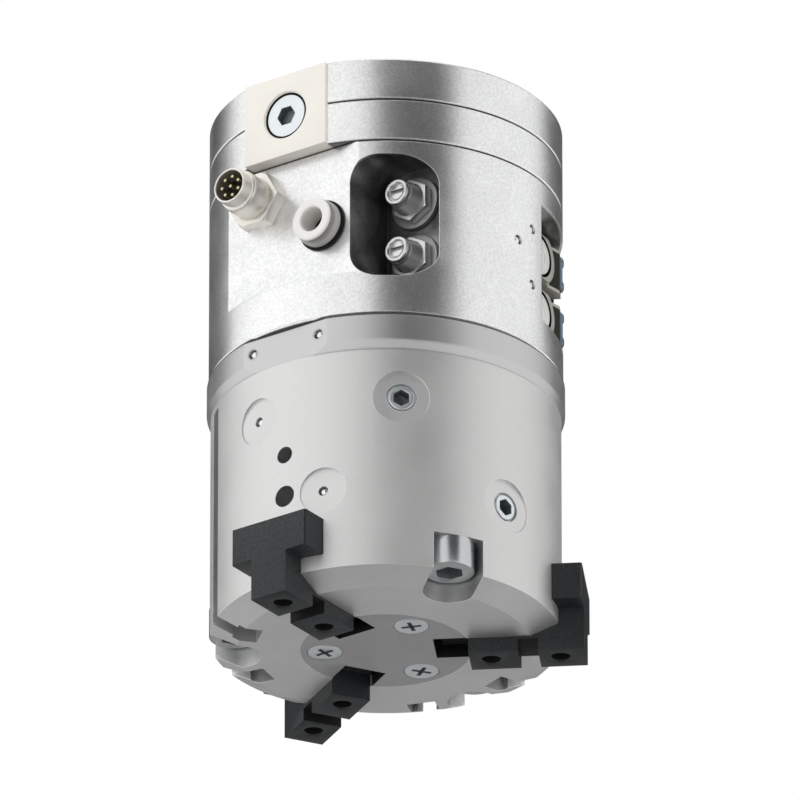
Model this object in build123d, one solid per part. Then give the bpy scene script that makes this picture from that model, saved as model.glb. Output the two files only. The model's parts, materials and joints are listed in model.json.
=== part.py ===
from build123d import *
import math
import os

os.makedirs("parts", exist_ok=True)

# All lengths are millimetres. The robot flange face is at height zero and the gripper hangs below it.
# The connector side faces -Y. The jaws point at three angles about the vertical axis.
jaw_angles = (-90, 30, 150)
screw_angles = (-30, 90, 210)

# Rings and housings, from the flange face down
housing_radius = 55.74
ring_overhang = 0.71
cover_overhang = 1.26
adapter_height = 14.4
locking_height = 14.45
module_height = 61.15
cover_height = 12.4
housing_height = 78.9
edge_chamfer = 0.6

# Clearances
fit_gap = 0.02
running_gap = 0.05
free_gap = 0.3

# Robot flange interface
flange_circle = 80.0
flange_hole_count = 6
flange_hole_radius = 4.5
flange_head_radius = 7.5
flange_head_depth = 8.6
centring_radius = 25.0
spigot_radius = 27.0
spigot_height = 5.0

# Clamp plate that locks the two rings together, and its screw
clamp_width = 31.4
clamp_margin = 0.3
clamp_recess = 1.15
clamp_bevel = 0.5
tongue_width = 20.0
tongue_depth = 12.0
tongue_top_wall = 6.0
clamp_screw_radius = 4.0
clamp_screw_head_radius = 7.75
clamp_screw_recess = 0.7
clamp_screw_length = 15.0
clamp_screw_hex = 6.0

# Screws that hold the locking plate on the valve module
locking_screw_inset = 10.45
locking_screw_radius = 3.0
locking_screw_head_radius = 5.0
locking_screw_head_height = 6.0
locking_screw_engagement = 12.0
locking_screw_hex = 5.0

# Flat of the valve module with the electric and air connections
flat_depth = 6.05
flat_height = 46.35

# Round signal connector
plug_x = -13.1
plug_drop = 11.65
plug_nut_flats = 17.0
plug_nut_thickness = 4.5
plug_nut_bevel = 0.7
plug_radius = 6.0
plug_wall = 0.8
plug_reach = 17.0
plug_mouth_length = 4.2
plug_sleeve_radius = 7.0
plug_shank_radius = 6.4
plug_depth = 12.0
plug_insert_recess = 6.0
pin_radius = 0.5
pin_circle = 3.3
pin_ring_count = 7
pin_reach = 5.2
key_radius = 0.8

# Control board behind the connector
board_width = 40.0
board_height = 32.0
board_thickness = 1.6
board_gap = 0.1

# Push-in air fitting
fitting_x = 11.4
fitting_drop = 26.35
fitting_seal_radius = 8.5
fitting_seal_thickness = 1.0
fitting_radius = 7.75
fitting_height = 2.8
fitting_shank_radius = 6.5
fitting_shank_depth = 10.0
collar_radius = 7.25
collar_thickness = 1.0
collar_stroke = 1.5
collar_sleeve_radius = 5.2
collar_sleeve_length = 5.0
tube_radius = 4.05
tube_seal_thickness = 1.8

# Throttle pocket and its two throttle valves
pocket_left = 21.9
pocket_width = 23.1
pocket_drop = 4.95
pocket_height = 43.0
pocket_corner = 9.5
pocket_depth = 26.65
throttle_x = 33.4
throttle_drop = 16.9
throttle_spacing = 20.2
throttle_flange_radius = 8.8
throttle_flange_thickness = 1.5
throttle_hex_flats = 12.6
throttle_hex_height = 3.0
throttle_hex_bevel = 0.5
throttle_barrel_radius = 5.4
throttle_barrel_height = 5.4
throttle_shank_radius = 5.0
throttle_shank_depth = 9.0
adjuster_radius = 4.25
adjuster_height = 1.6
adjuster_dish_radius = 3.0
adjuster_dish_depth = 0.6
adjuster_stem_radius = 2.5
adjuster_stem_depth = 12.0
adjuster_slot_width = 1.0
adjuster_slot_depth = 0.6

# Valve bay and its two pilot valves, which stand askew in the bay with their round caps outwards
bay_angle = 30.0
bay_half_width = 22.4
bay_drop = 8.15
bay_height = 41.4
bay_floor = 34.0
bay_corner = 1.0
valve_turn = -22.5
valve_x = 50.0
valve_y = -4.7
valve_drop = 17.65
valve_spacing = 19.7
valve_height = 15.2
valve_left = 13.0
valve_right = 8.0
valve_frame_radius = 9.4
valve_frame_inner = 7.0
valve_frame_height = 1.2
valve_cap_radius = 6.4
valve_cap_height = 3.0
valve_coil_height = 13.0
valve_coil_step = 0.6
valve_coil_front = 54.8
valve_coil_side = 12.5
valve_coil_depth = 14.0
valve_coil_length = 10.0
valve_cover_thickness = 0.7
valve_cover_width = 3.6
valve_cover_height = 11.0
valve_screw_y = 10.6
valve_screw_spacing = 8.3
valve_screw_radius = 1.0
valve_screw_head_radius = 1.6
valve_screw_head_height = 0.5
valve_screw_length = 7.0

# Pressed steel balls that close drilled air channels, with their drops below the top of each housing
ball_radius = 1.6
ball_depth = 3.6
module_ball_angles = (1.0, -6.3, 0.9)
module_ball_drop = 19.75
module_ball_step = 6.4
module_ball_fall = 19.6
cover_ball_x = 12.7
cover_ball_drop = 5.3
spot_ball_angles = (-101.3, -75.5)
spot_ball_drop = 16.9
spot_ball_step = 30.6

# Cylinder cover
cover_flat_depth = 2.3
cover_taper_height = 3.0
cover_taper_depth = 1.2
cover_seal_height = 2.6
cover_seal_depth = 2.4
cover_seal_place = 2.6

# Cylinder, piston and rod
bore_radius = 36.0
piston_height = 17.0
stroke = 10.0
rod_radius = 10.0
stop_gap = 0.2
piston_seal_height = 3.4
piston_seal_depth = 3.2
piston_seal_place = 3.0
guide_band_height = 3.0
guide_band_depth = 1.6
guide_band_place = 2.4
magnet_outer = 32.0
magnet_inner = 27.0
magnet_height = 4.0
rod_guide_height = 6.0
rod_guide_seal_radius = 12.6
rod_guide_seal_height = 2.8
retaining_ring_height = 1.6
retaining_ring_width = 4.0
retaining_groove_depth = 1.4
piston_screw_radius = 4.0
piston_screw_head_radius = 6.5
piston_screw_head_height = 8.0
piston_screw_hex = 6.0
piston_screw_engagement = 12.0

# Jaws: T bars that slide outwards in the housing, measured from the axis at rest
jaw_top_depth = 57.6
jaw_wide = 28.5
jaw_wide_height = 12.2
jaw_neck = 13.2
jaw_outer_end = 63.5
jaw_wide_inner_end = 30.0
jaw_face_drop = 4.9
pad_inner_start = 26.7
pad_groove_start = 42.5
pad_groove_end = 48.7
pad_groove_depth = 4.0
jaw_thread_radius = 2.5
jaw_thread_depth = 13.0
jaw_thread_first = 33.5
jaw_thread_spacing = 22.0
jaw_edge = 0.5

# Inclined hook of each jaw and the wedge that drives it
hook_web_width = 6.0
hook_web_height = 3.0
hook_head_width = 12.0
hook_head_height = 3.2
hook_lead = 2.0
hook_foot_height = 4.5
wedge_arm_width = 20.0
wedge_rise = 4.0

# Centre cover under the wedge
centre_cover_radius = 26.93
centre_cover_thickness = 4.0
centre_slot_end = 15.6
centre_slot_width = 14.0
centre_screw_circle = 19.4
centre_screw_radius = 3.0
centre_screw_head_radius = 5.65
centre_screw_head_height = 3.0
centre_screw_length = 14.0
cross_recess_width = 1.3
cross_recess_length = 6.4
cross_recess_depth = 1.6

# Long screws that hold housing and cover on the module
mount_screw_inset = 7.54
mount_screw_radius = 5.0
mount_hole_radius = 5.25
mount_screw_head_radius = 8.0
mount_screw_head_height = 10.0
mount_screw_hex = 8.0
mount_screw_engagement = 12.0
mount_pocket_width = 17.0
mount_pocket_depth = 16.3

# Sensor slots and ports in the gripper housing
bottom_chamfer_height = 4.0
bottom_radius = 47.0
sensor_angles = (70, 110, 190, 230)
sensor_mouth = 6.2
sensor_width = 9.4
sensor_wall = 5.0
sensor_lip_depth = 6.74
sensor_roof = 1.6
spot_depth = 0.85
spot_radius = 7.75
port_plug_angles = (-49.4, -11.1)
port_plug_drop = 16.6
port_plug_step = 31.1
port_spot_radius = 9.0
port_radius = 4.9
port_depth = 10.0
port_plug_length = 8.0
port_plug_hex = 5.0
side_hole_angle = -89.4
small_side_hole_radius = 2.85
small_side_hole_drop = 32.3
large_side_hole_radius = 3.6
large_side_hole_drop = 46.7
side_hole_depth = 12.0

# Radii and distances from the axis, worked out from the housing
ring_radius = housing_radius + ring_overhang
cover_radius = housing_radius + cover_overhang
clamp_front = ring_radius - clamp_recess
pocket_floor = ring_radius - pocket_depth
clamp_face = clamp_front - clamp_screw_recess
flat_offset = ring_radius - flat_depth
cover_flat_offset = cover_radius - cover_flat_depth
locking_screw_circle = ring_radius - locking_screw_inset
mount_screw_circle = housing_radius - mount_screw_inset
sensor_floor = bore_radius + sensor_wall
sensor_lip = housing_radius - sensor_lip_depth

# Heights worked out from the stack
adapter_bottom = -adapter_height
locking_bottom = adapter_bottom - locking_height
clamp_middle = locking_bottom / 2
module_bottom = locking_bottom - module_height
cover_bottom = module_bottom - cover_height
plug_z = locking_bottom - plug_drop
fitting_z = locking_bottom - fitting_drop
pocket_middle = locking_bottom - pocket_drop - pocket_height / 2
throttle_z = locking_bottom - throttle_drop
bay_middle = locking_bottom - bay_drop - bay_height / 2
valve_z = locking_bottom - valve_drop
cover_ball_z = module_bottom - cover_ball_drop
housing_bottom = cover_bottom - housing_height
jaw_top = cover_bottom - jaw_top_depth
jaw_shoulder = jaw_top - jaw_wide_height
jaw_face = housing_bottom - jaw_face_drop
cover_back = housing_bottom + centre_cover_thickness
jaw_inner_bottom = cover_back + free_gap
incline_foot = jaw_inner_bottom + hook_foot_height
jaw_inner_end = jaw_wide_inner_end - (jaw_top - incline_foot)
hook_inner_end = jaw_inner_end - hook_lead
wedge_top = jaw_top + wedge_rise
wedge_bottom = cover_back + free_gap + stop_gap
guide_bottom = wedge_top + stroke
guide_top = guide_bottom + rod_guide_height
ring_top = guide_top + retaining_ring_height
piston_bottom = ring_top + stop_gap
piston_top = piston_bottom + piston_height
spigot_bottom = piston_top + stroke + stop_gap
screw_seat = housing_bottom + mount_pocket_depth
screw_tip = module_bottom + mount_screw_engagement
wedge_reach = jaw_wide_inner_end + wedge_rise
module_ball_heights = (locking_bottom - module_ball_drop,
                       locking_bottom - module_ball_drop - module_ball_step,
                       locking_bottom - module_ball_drop - module_ball_fall)
module_balls = tuple(zip(module_ball_angles, module_ball_heights))
spot_ball_heights = (cover_bottom - spot_ball_drop, cover_bottom - spot_ball_drop - spot_ball_step)
spot_balls = tuple(zip(spot_ball_angles, spot_ball_heights))
port_plug_heights = (cover_bottom - port_plug_drop, cover_bottom - port_plug_drop - port_plug_step)
plug_places = tuple(zip(port_plug_angles, port_plug_heights))
side_holes = ((small_side_hole_radius, cover_bottom - small_side_hole_drop),
              (large_side_hole_radius, cover_bottom - large_side_hole_drop))
passage_radius = wedge_reach + free_gap
passage_width = wedge_arm_width + 2 * free_gap
root2 = math.sqrt(2)


def disc(radius, top, bottom, x=0, y=0):
    """A cylinder between two heights, with its axis vertical."""
    return Pos(x, y, (top + bottom) / 2) * Cylinder(radius, top - bottom)


def ring(outer, inner, top, bottom):
    """A tube between two heights about the vertical axis."""
    return disc(outer, top, bottom) - disc(inner, top + 1, bottom - 1)


def block(x0, x1, y0, y1, z0, z1):
    """A box given by its two corners."""
    return Pos((x0 + x1) / 2, (y0 + y1) / 2, (z0 + z1) / 2) * Box(x1 - x0, y1 - y0, z1 - z0)


def along_y(radius, front, back, x, z):
    """A cylinder along Y between two distances in front of the axis, which count towards -Y."""
    return Pos(x, -(front + back) / 2, z) * Rot(90, 0, 0) * Cylinder(radius, front - back)


def hex_along_y(flats, front, back, x, z):
    """A hexagonal bar along Y between two distances in front of the axis."""
    face = Pos(x, -back, z) * Rot(90, 0, 0) * RegularPolygon(flats / 2, 6, major_radius=False)
    return extrude(face, amount=front - back)


def along_x(radius, start, end, y, z):
    """A cylinder along X."""
    return Pos((start + end) / 2, y, z) * Rot(0, 90, 0) * Cylinder(radius, end - start)


def hex_up(flats, top, bottom, x=0, y=0):
    """A vertical hexagonal bar."""
    return Pos(x, y, bottom) * extrude(RegularPolygon(flats / 2, 6, major_radius=False), amount=top - bottom)


def turned(shape, angle):
    """A shape built on the +X side, turned about the vertical axis."""
    return Rot(0, 0, angle) * shape


def around(shape, angles):
    """Copies of a shape at several angles about the vertical axis."""
    return [turned(shape, angle) for angle in angles]


def prism(points, width):
    """An outline in the XZ plane, made a bar of this width about that plane."""
    outline = Polyline(*[(x, 0, z) for x, z in points], close=True)
    return extrude(make_face(outline), amount=width / 2, dir=(0, 1, 0), both=True)


def bevelled(radius, top, bottom):
    """A disc with a small chamfer on both outer edges."""
    body = disc(radius, top, bottom)
    return chamfer(body.edges().filter_by(GeomType.CIRCLE), edge_chamfer)


def circle_place(radius, angle):
    """A point on a circle about the axis."""
    return radius * math.cos(math.radians(angle)), radius * math.sin(math.radians(angle))


def save(name, *solids):
    """Writes one node, as one solid or as a group of separate solids."""
    shape = solids[0] if len(solids) == 1 else Compound(children=list(solids))
    export_step(shape, f"parts/{name}.step")


def socket_screw(radius, head_radius, head_height, hex_flats, seat, tip, x=0, y=0):
    """A cap screw with its head above the seat and its tip below it, or the other way up."""
    up = 1 if seat > tip else -1
    head_end = seat + up * head_height
    shank = disc(radius, max(seat, tip), min(seat, tip), x, y)
    head = disc(head_radius, max(head_end, seat), min(head_end, seat), x, y)
    socket_floor = head_end - up * head_height / 2
    socket = hex_up(hex_flats, max(head_end, socket_floor), min(head_end, socket_floor), x, y)
    return shank + head - socket


# Adapter plate, bolted to the robot flange
def make_adapter_plate():
    plate = bevelled(ring_radius, 0, adapter_bottom)
    plate -= disc(centring_radius, 1, adapter_bottom - 1)
    plate -= disc(spigot_radius, adapter_bottom + spigot_height, adapter_bottom - 1)
    for index in range(flange_hole_count):
        x, y = circle_place(flange_circle / 2, index * 360 / flange_hole_count)
        plate -= disc(flange_hole_radius, 1, adapter_bottom - 1, x, y)
        plate -= disc(flange_head_radius, adapter_bottom + flange_head_depth, adapter_bottom - 1, x, y)
    plate -= clamp_notch()
    half = tongue_width / 2 + running_gap
    back = flat_offset - tongue_depth - running_gap
    plate -= block(-half, half, -ring_radius, -back, adapter_bottom - 1, -tongue_top_wall + free_gap)
    return plate


def clamp_notch():
    """The seat of the clamp plate, cut in both rings."""
    half = clamp_width / 2 + running_gap
    return block(-half, half, -ring_radius - 1, -flat_offset, locking_bottom - 1, 1)


def clamp_screw_hole():
    """The countersunk hole of the clamp screw, through the clamp plate and into the tongue."""
    mouth = Cone(clamp_screw_head_radius + fit_gap, clamp_screw_head_radius + clamp_screw_recess,
                 clamp_screw_recess)
    hole = Pos(0, -(clamp_face + clamp_screw_recess / 2), clamp_middle) * Rot(90, 0, 0) * mouth
    return hole + countersunk_along_y(clamp_screw_radius + fit_gap, clamp_screw_head_radius + fit_gap,
                                      clamp_face, clamp_screw_length + 1, 0, clamp_middle)


# Locking plate, on top of the valve module, with a tongue behind the clamp plate
def make_locking_plate():
    plate = bevelled(ring_radius, adapter_bottom, locking_bottom)
    plate += disc(spigot_radius - running_gap, adapter_bottom + spigot_height, adapter_bottom)
    plate -= clamp_notch()
    half = tongue_width / 2
    plate += block(-half, half, -flat_offset, -flat_offset + tongue_depth, adapter_bottom, -tongue_top_wall)
    plate -= clamp_screw_hole()
    head_floor = adapter_bottom - locking_screw_head_height
    for angle in screw_angles:
        x, y = circle_place(locking_screw_circle, angle)
        plate -= disc(locking_screw_radius + fit_gap, adapter_bottom + 1, locking_bottom - 1, x, y)
        plate -= disc(locking_screw_head_radius + fit_gap, adapter_bottom + 1, head_floor, x, y)
    return plate


def make_locking_screws():
    seat = adapter_bottom - locking_screw_head_height
    tip = locking_bottom - locking_screw_engagement
    screws = []
    for angle in screw_angles:
        x, y = circle_place(locking_screw_circle, angle)
        screws.append(socket_screw(locking_screw_radius, locking_screw_head_radius,
                                   locking_screw_head_height, locking_screw_hex, seat, tip, x, y))
    return screws


# Clamp plate and its countersunk screw
def countersunk_along_y(radius, head_radius, face, length, x, z):
    """A countersunk screw along Y, with the flat of its head at this distance in front of the axis."""
    cone_height = head_radius - radius
    cone = Pos(x, -(face - cone_height / 2), z) * Rot(90, 0, 0) * Cone(radius, head_radius, cone_height)
    return cone + along_y(radius, face - cone_height, face - length, x, z)


def make_clamp_plate():
    half = clamp_width / 2
    plate = block(-half, half, -clamp_front, -flat_offset - fit_gap, locking_bottom + clamp_margin,
                  -clamp_margin)
    plate = chamfer(plate.faces().sort_by(Axis.Y)[0].edges(), clamp_bevel)
    return plate - clamp_screw_hole()


def make_clamp_screw():
    screw = countersunk_along_y(clamp_screw_radius, clamp_screw_head_radius, clamp_face,
                                clamp_screw_length, 0, clamp_middle)
    return screw - hex_along_y(clamp_screw_hex, clamp_face, clamp_face - clamp_screw_radius, 0, clamp_middle)


# Valve module housing
def rounded_slab(width, height, corner, depth):
    """A rounded rectangle in the XZ plane, made a slab towards -Y."""
    return extrude(Rot(90, 0, 0) * RectangleRounded(width, height, corner), amount=depth)


def make_module_housing():
    body = bevelled(ring_radius, locking_bottom, module_bottom)
    flat_bottom = locking_bottom - flat_height
    body -= block(-ring_radius, ring_radius, -ring_radius, -flat_offset, flat_bottom, locking_bottom + 1)
    pocket = rounded_slab(pocket_width, pocket_height, pocket_corner, ring_radius)
    body -= Pos(pocket_left + pocket_width / 2, -pocket_floor, pocket_middle) * pocket
    bay = rounded_slab(2 * bay_half_width, bay_height, bay_corner, ring_radius)
    bay = Rot(0, 0, 90) * Pos(0, -bay_floor, bay_middle) * bay
    body -= turned(bay, bay_angle)
    board_back = board_front() + board_thickness + board_gap
    slot_left = plug_x - board_width / 2 - board_gap
    slot_bottom = locking_bottom - board_height - board_gap
    body -= block(slot_left, plug_x + board_width / 2 + board_gap, board_front() - board_gap, board_back,
                  slot_bottom, locking_bottom + 1)
    body -= along_y(plug_shank_radius + fit_gap, flat_offset + 1, -board_front(), plug_x, plug_z)
    body -= along_y(fitting_shank_radius + fit_gap, flat_offset + 1,
                    flat_offset - fitting_shank_depth, fitting_x, fitting_z)
    for height in throttle_heights():
        body -= along_y(throttle_shank_radius + fit_gap, pocket_floor + 1,
                        pocket_floor - throttle_shank_depth, throttle_x, height)
        body -= along_y(adjuster_stem_radius + free_gap, pocket_floor,
                        throttle_face() - adjuster_stem_depth, throttle_x, height)
    for angle in screw_angles:
        x, y = circle_place(locking_screw_circle, angle)
        body -= disc(locking_screw_radius + fit_gap, locking_bottom + 1,
                     locking_bottom - locking_screw_engagement, x, y)
        x, y = circle_place(mount_screw_circle, angle)
        body -= disc(mount_screw_radius + fit_gap, screw_tip, module_bottom - 1, x, y)
    for angle, height in module_balls:
        body -= turned(ball_hole(ring_radius, height), angle)
    return body


def board_front():
    """Where the front of the control board lies on Y, just behind the connector."""
    return -flat_offset + plug_depth + 2 * board_gap


def throttle_heights():
    """Heights of the two throttle valves."""
    return (throttle_z, throttle_z - throttle_spacing)


def throttle_face():
    """Distance of the front of the throttle body from the axis."""
    return pocket_floor + throttle_flange_thickness + throttle_hex_height + throttle_barrel_height


def ball_hole(surface, height):
    """The blind hole of a pressed ball, on the +X side."""
    return along_x(ball_radius + fit_gap, surface - ball_depth, surface + 1, 0, height)


def pressed_ball(surface, height):
    """A ball that stands just inside the surface, on the +X side."""
    return Pos(surface - ball_radius - edge_chamfer / 2, 0, height) * Sphere(ball_radius)


# Round signal connector
def make_connector_shell():
    front = flat_offset + plug_reach
    rear = flat_offset - plug_depth
    nut_front = flat_offset + plug_nut_thickness
    step = front - plug_mouth_length
    shell = along_y(plug_radius, front, step, plug_x, plug_z)
    shell += along_y(plug_sleeve_radius, step, nut_front, plug_x, plug_z)
    shell += along_y(plug_shank_radius, nut_front, rear, plug_x, plug_z)
    inner = plug_radius - plug_wall
    shell -= along_y(inner, front + 1, rear - 1, plug_x, plug_z)
    key = along_y(key_radius, front - plug_wall, front - plug_insert_recess, plug_x + inner, plug_z)
    return shell + (key & along_y(plug_radius, front, rear, plug_x, plug_z))


def bevelled_nut(flats, front, back, bevel, x, z, turn=0):
    """A hexagonal nut along Y with its front corners turned off."""
    nut = Pos(x, 0, z) * Rot(0, turn, 0) * hex_along_y(flats, front, back, 0, 0)
    height = front - back
    corner = flats / math.sqrt(3)
    cone = Cone(corner - bevel + 2 * height, corner - bevel, height)
    return nut & (Pos(x, -(front + back) / 2, z) * Rot(90, 0, 0) * cone)


def make_connector_nut():
    nut = bevelled_nut(plug_nut_flats, flat_offset + plug_nut_thickness, flat_offset, plug_nut_bevel,
                       plug_x, plug_z)
    return nut - along_y(plug_shank_radius + fit_gap, flat_offset + plug_nut_thickness + 1, flat_offset - 1,
                         plug_x, plug_z)


def pin_places():
    """Places of the contacts: one in the middle and the rest on a circle."""
    places = [(plug_x, plug_z)]
    for index in range(pin_ring_count):
        x, z = circle_place(pin_circle, 180 + index * 360 / pin_ring_count)
        places.append((plug_x + x, plug_z + z))
    return places


def make_connector_insert():
    front = flat_offset + plug_reach - plug_insert_recess
    rear = flat_offset - plug_depth
    insert = along_y(plug_radius - plug_wall - fit_gap, front, rear, plug_x, plug_z)
    for x, z in pin_places():
        insert -= along_y(pin_radius + fit_gap, front + 1, rear - 1, x, z)
    return insert


def make_connector_pins():
    front = flat_offset + plug_reach - plug_insert_recess + pin_reach
    return [along_y(pin_radius, front, -board_front(), x, z) for x, z in pin_places()]


def make_control_board():
    return block(plug_x - board_width / 2, plug_x + board_width / 2, board_front(),
                 board_front() + board_thickness, locking_bottom - board_height, locking_bottom)


# Push-in air fitting
def fitting_front():
    """Distance of the front of the fitting body from the axis."""
    return flat_offset + fitting_seal_thickness + fitting_height


def make_fitting_seal():
    seal = along_y(fitting_seal_radius, flat_offset + fitting_seal_thickness, flat_offset, fitting_x, fitting_z)
    return seal - along_y(fitting_shank_radius + fit_gap, flat_offset + 2 * fitting_seal_thickness,
                          flat_offset - 1, fitting_x, fitting_z)


def make_fitting_body():
    front = fitting_front()
    seat = front - collar_sleeve_length - collar_stroke - free_gap
    body = along_y(fitting_radius, front, flat_offset + fitting_seal_thickness, fitting_x, fitting_z)
    body += along_y(fitting_shank_radius, flat_offset + fitting_seal_thickness,
                    flat_offset - fitting_shank_depth, fitting_x, fitting_z)
    body -= along_y(collar_sleeve_radius + running_gap, front + 1, seat - tube_seal_thickness,
                    fitting_x, fitting_z)
    body -= along_y(tube_radius - 1, front, flat_offset - fitting_shank_depth - 1, fitting_x, fitting_z)
    return body


def make_tube_seal():
    top = fitting_front() - collar_sleeve_length - collar_stroke - free_gap
    seal = along_y(collar_sleeve_radius, top, top - tube_seal_thickness, fitting_x, fitting_z)
    return seal - along_y(tube_radius, top + 1, top - tube_seal_thickness - 1, fitting_x, fitting_z)


def make_release_collar():
    front = fitting_front()
    rim = front + collar_stroke + free_gap
    collar = along_y(collar_radius, rim + collar_thickness, rim, fitting_x, fitting_z)
    collar += along_y(collar_sleeve_radius, rim, front - collar_sleeve_length, fitting_x, fitting_z)
    return collar - along_y(tube_radius, rim + 2 * collar_thickness, front - 2 * collar_sleeve_length,
                            fitting_x, fitting_z)


# Throttle valves
def make_throttle_body(height):
    hex_start = pocket_floor + throttle_flange_thickness
    hex_end = hex_start + throttle_hex_height
    body = along_y(throttle_shank_radius, hex_start, pocket_floor - throttle_shank_depth, throttle_x, height)
    body += bevelled_nut(throttle_hex_flats, hex_end, hex_start, throttle_hex_bevel, throttle_x, height, 30)
    body += along_y(throttle_barrel_radius, throttle_face(), hex_end, throttle_x, height)
    return body - along_y(adjuster_stem_radius + running_gap, throttle_face() + 1,
                          pocket_floor - throttle_shank_depth - 1, throttle_x, height)


def make_throttle_flange(height):
    flange = along_y(throttle_flange_radius, pocket_floor + throttle_flange_thickness, pocket_floor,
                     throttle_x, height)
    return flange - along_y(throttle_shank_radius + fit_gap, throttle_face(), pocket_floor - 1,
                            throttle_x, height)


def make_adjusting_screw(height):
    start = throttle_face() + free_gap
    front = start + adjuster_height
    screw = along_y(adjuster_radius, front, start, throttle_x, height)
    screw += along_y(adjuster_stem_radius, start, throttle_face() - adjuster_stem_depth + 1, throttle_x, height)
    dish_floor = front - adjuster_dish_depth
    screw -= along_y(adjuster_dish_radius, front + 1, dish_floor, throttle_x, height)
    half = adjuster_slot_width / 2
    slot = block(-adjuster_dish_radius, adjuster_dish_radius, -front, -dish_floor + adjuster_slot_depth,
                 -half, half)
    slot &= along_y(adjuster_dish_radius, front, start, 0, 0)
    return screw - Pos(throttle_x, 0, height) * slot


# Pilot valves, built on the +X side and turned into their bay
def valve_heights():
    """Heights of the two valves."""
    return (valve_z, valve_z - valve_spacing)


def askew(shape, height):
    """A shape built about the middle of a valve front, put in its place in the bay."""
    return turned(Pos(valve_x, valve_y, height) * Rot(0, 0, valve_turn) * shape, bay_angle)


def make_valve_block(height):
    top = valve_height / 2
    body = block(-bay_floor, -valve_frame_height, -valve_left, valve_right, -top, top)
    body = fillet(body.edges().filter_by(Axis.X), edge_chamfer)
    frame = along_x(valve_frame_radius, -valve_frame_height, 0, 0, 0)
    frame &= block(-valve_left, 1, -valve_left, valve_left, -top, top)
    body += frame - along_x(valve_frame_inner, -valve_frame_height, 1, 0, 0)
    body = askew(body - along_x(valve_cap_radius + fit_gap, -valve_cap_height, 1, 0, 0), height)
    behind = block(-ring_radius, bay_floor + fit_gap, -ring_radius, ring_radius,
                   height - valve_height, height + valve_height)
    return body - turned(behind, bay_angle)


def make_valve_cap(height):
    cap = along_x(valve_cap_radius, -valve_cap_height + fit_gap, 0, 0, 0)
    cap = fillet(cap.edges().filter_by(GeomType.CIRCLE).sort_by(Axis.X)[-1], edge_chamfer)
    groove = along_x(valve_cap_radius - 1.2, -edge_chamfer / 2, 1, 0, 0)
    groove -= along_x(valve_cap_radius - 2, -1, 2, 0, 0)
    return askew(cap - groove, height)


def make_valve_coil(height):
    front = -valve_frame_height - fit_gap
    side = valve_right + fit_gap
    plan = [to_bay(front - valve_coil_step, side), to_bay(front - valve_coil_length, side),
            (valve_coil_front - valve_coil_depth, valve_coil_side), (valve_coil_front, valve_coil_side),
            corner_on_front(-valve_coil_step)]
    outline = Polyline(*[(x, y, -valve_coil_height / 2) for x, y in plan], close=True)
    coil = Pos(0, 0, height) * extrude(make_face(outline), amount=valve_coil_height, dir=(0, 0, 1))
    for hole in valve_screw_holes(valve_screw_radius + fit_gap, height):
        coil -= hole
    return turned(coil, bay_angle)


def to_bay(outward, aside):
    """A point of the askew valve, given in the plan of the bay."""
    turn = math.radians(valve_turn)
    return (valve_x + outward * math.cos(turn) - aside * math.sin(turn),
            valve_y + outward * math.sin(turn) + aside * math.cos(turn))


def corner_on_front(outward):
    """Where the askew front of the coil meets its outer face, in the plan of the bay."""
    turn = math.radians(valve_turn)
    x, y = to_bay(outward, 0)
    aside = (valve_coil_front - x) / -math.sin(turn)
    return to_bay(outward, aside)


def make_valve_cover(height):
    half = valve_cover_width / 2
    cover = block(valve_coil_front + fit_gap, valve_coil_front + valve_cover_thickness,
                  valve_screw_y - half, valve_screw_y + half,
                  height - valve_cover_height / 2, height + valve_cover_height / 2)
    for hole in valve_screw_holes(valve_screw_radius + fit_gap, height):
        cover -= hole
    return turned(cover, bay_angle)


def valve_screw_holes(radius, height):
    """Holes for the two cover screws of one valve."""
    end = valve_coil_front + valve_cover_thickness
    return [along_x(radius, end - valve_screw_length, end + 1, valve_screw_y,
                    height + side * valve_screw_spacing / 2) for side in (-1, 1)]


def make_valve_screws():
    end = valve_coil_front + valve_cover_thickness
    screws = []
    for height in valve_heights():
        for side in (-1, 1):
            place = height + side * valve_screw_spacing / 2
            screw = along_x(valve_screw_radius, end - valve_screw_length, end, valve_screw_y, place)
            screw += along_x(valve_screw_head_radius, end, end + valve_screw_head_height, valve_screw_y, place)
            screws.append(turned(screw, bay_angle))
    return screws


# Cylinder cover between the module and the gripper housing
def make_cylinder_cover():
    taper_start = cover_bottom + cover_taper_height
    cover = disc(cover_radius, module_bottom, taper_start)
    cover = chamfer(cover.edges().filter_by(GeomType.CIRCLE).sort_by(Axis.Z)[-1], edge_chamfer)
    cone = Cone(cover_radius - cover_taper_depth, cover_radius, cover_taper_height)
    cover += Pos(0, 0, (taper_start + cover_bottom) / 2) * cone
    cover -= block(-cover_radius, cover_radius, -cover_radius - 1, -cover_flat_offset,
                   cover_bottom - 1, module_bottom + 1)
    cover += disc(bore_radius - running_gap, cover_bottom, spigot_bottom)
    seal_top = cover_bottom - cover_seal_place
    cover -= ring(bore_radius, bore_radius - cover_seal_depth, seal_top, seal_top - cover_seal_height)
    for angle in screw_angles:
        x, y = circle_place(mount_screw_circle, angle)
        cover -= disc(mount_hole_radius, module_bottom + 1, cover_bottom - 1, x, y)
    for side in (-1, 1):
        cover -= Pos(side * cover_ball_x, 0, 0) * Rot(0, 0, -90) * ball_hole(cover_flat_offset, cover_ball_z)
    return cover


def make_cover_seal():
    seal_top = cover_bottom - cover_seal_place - fit_gap
    return ring(bore_radius - fit_gap, bore_radius - cover_seal_depth + fit_gap, seal_top,
                seal_top - cover_seal_height + 2 * fit_gap)


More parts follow.
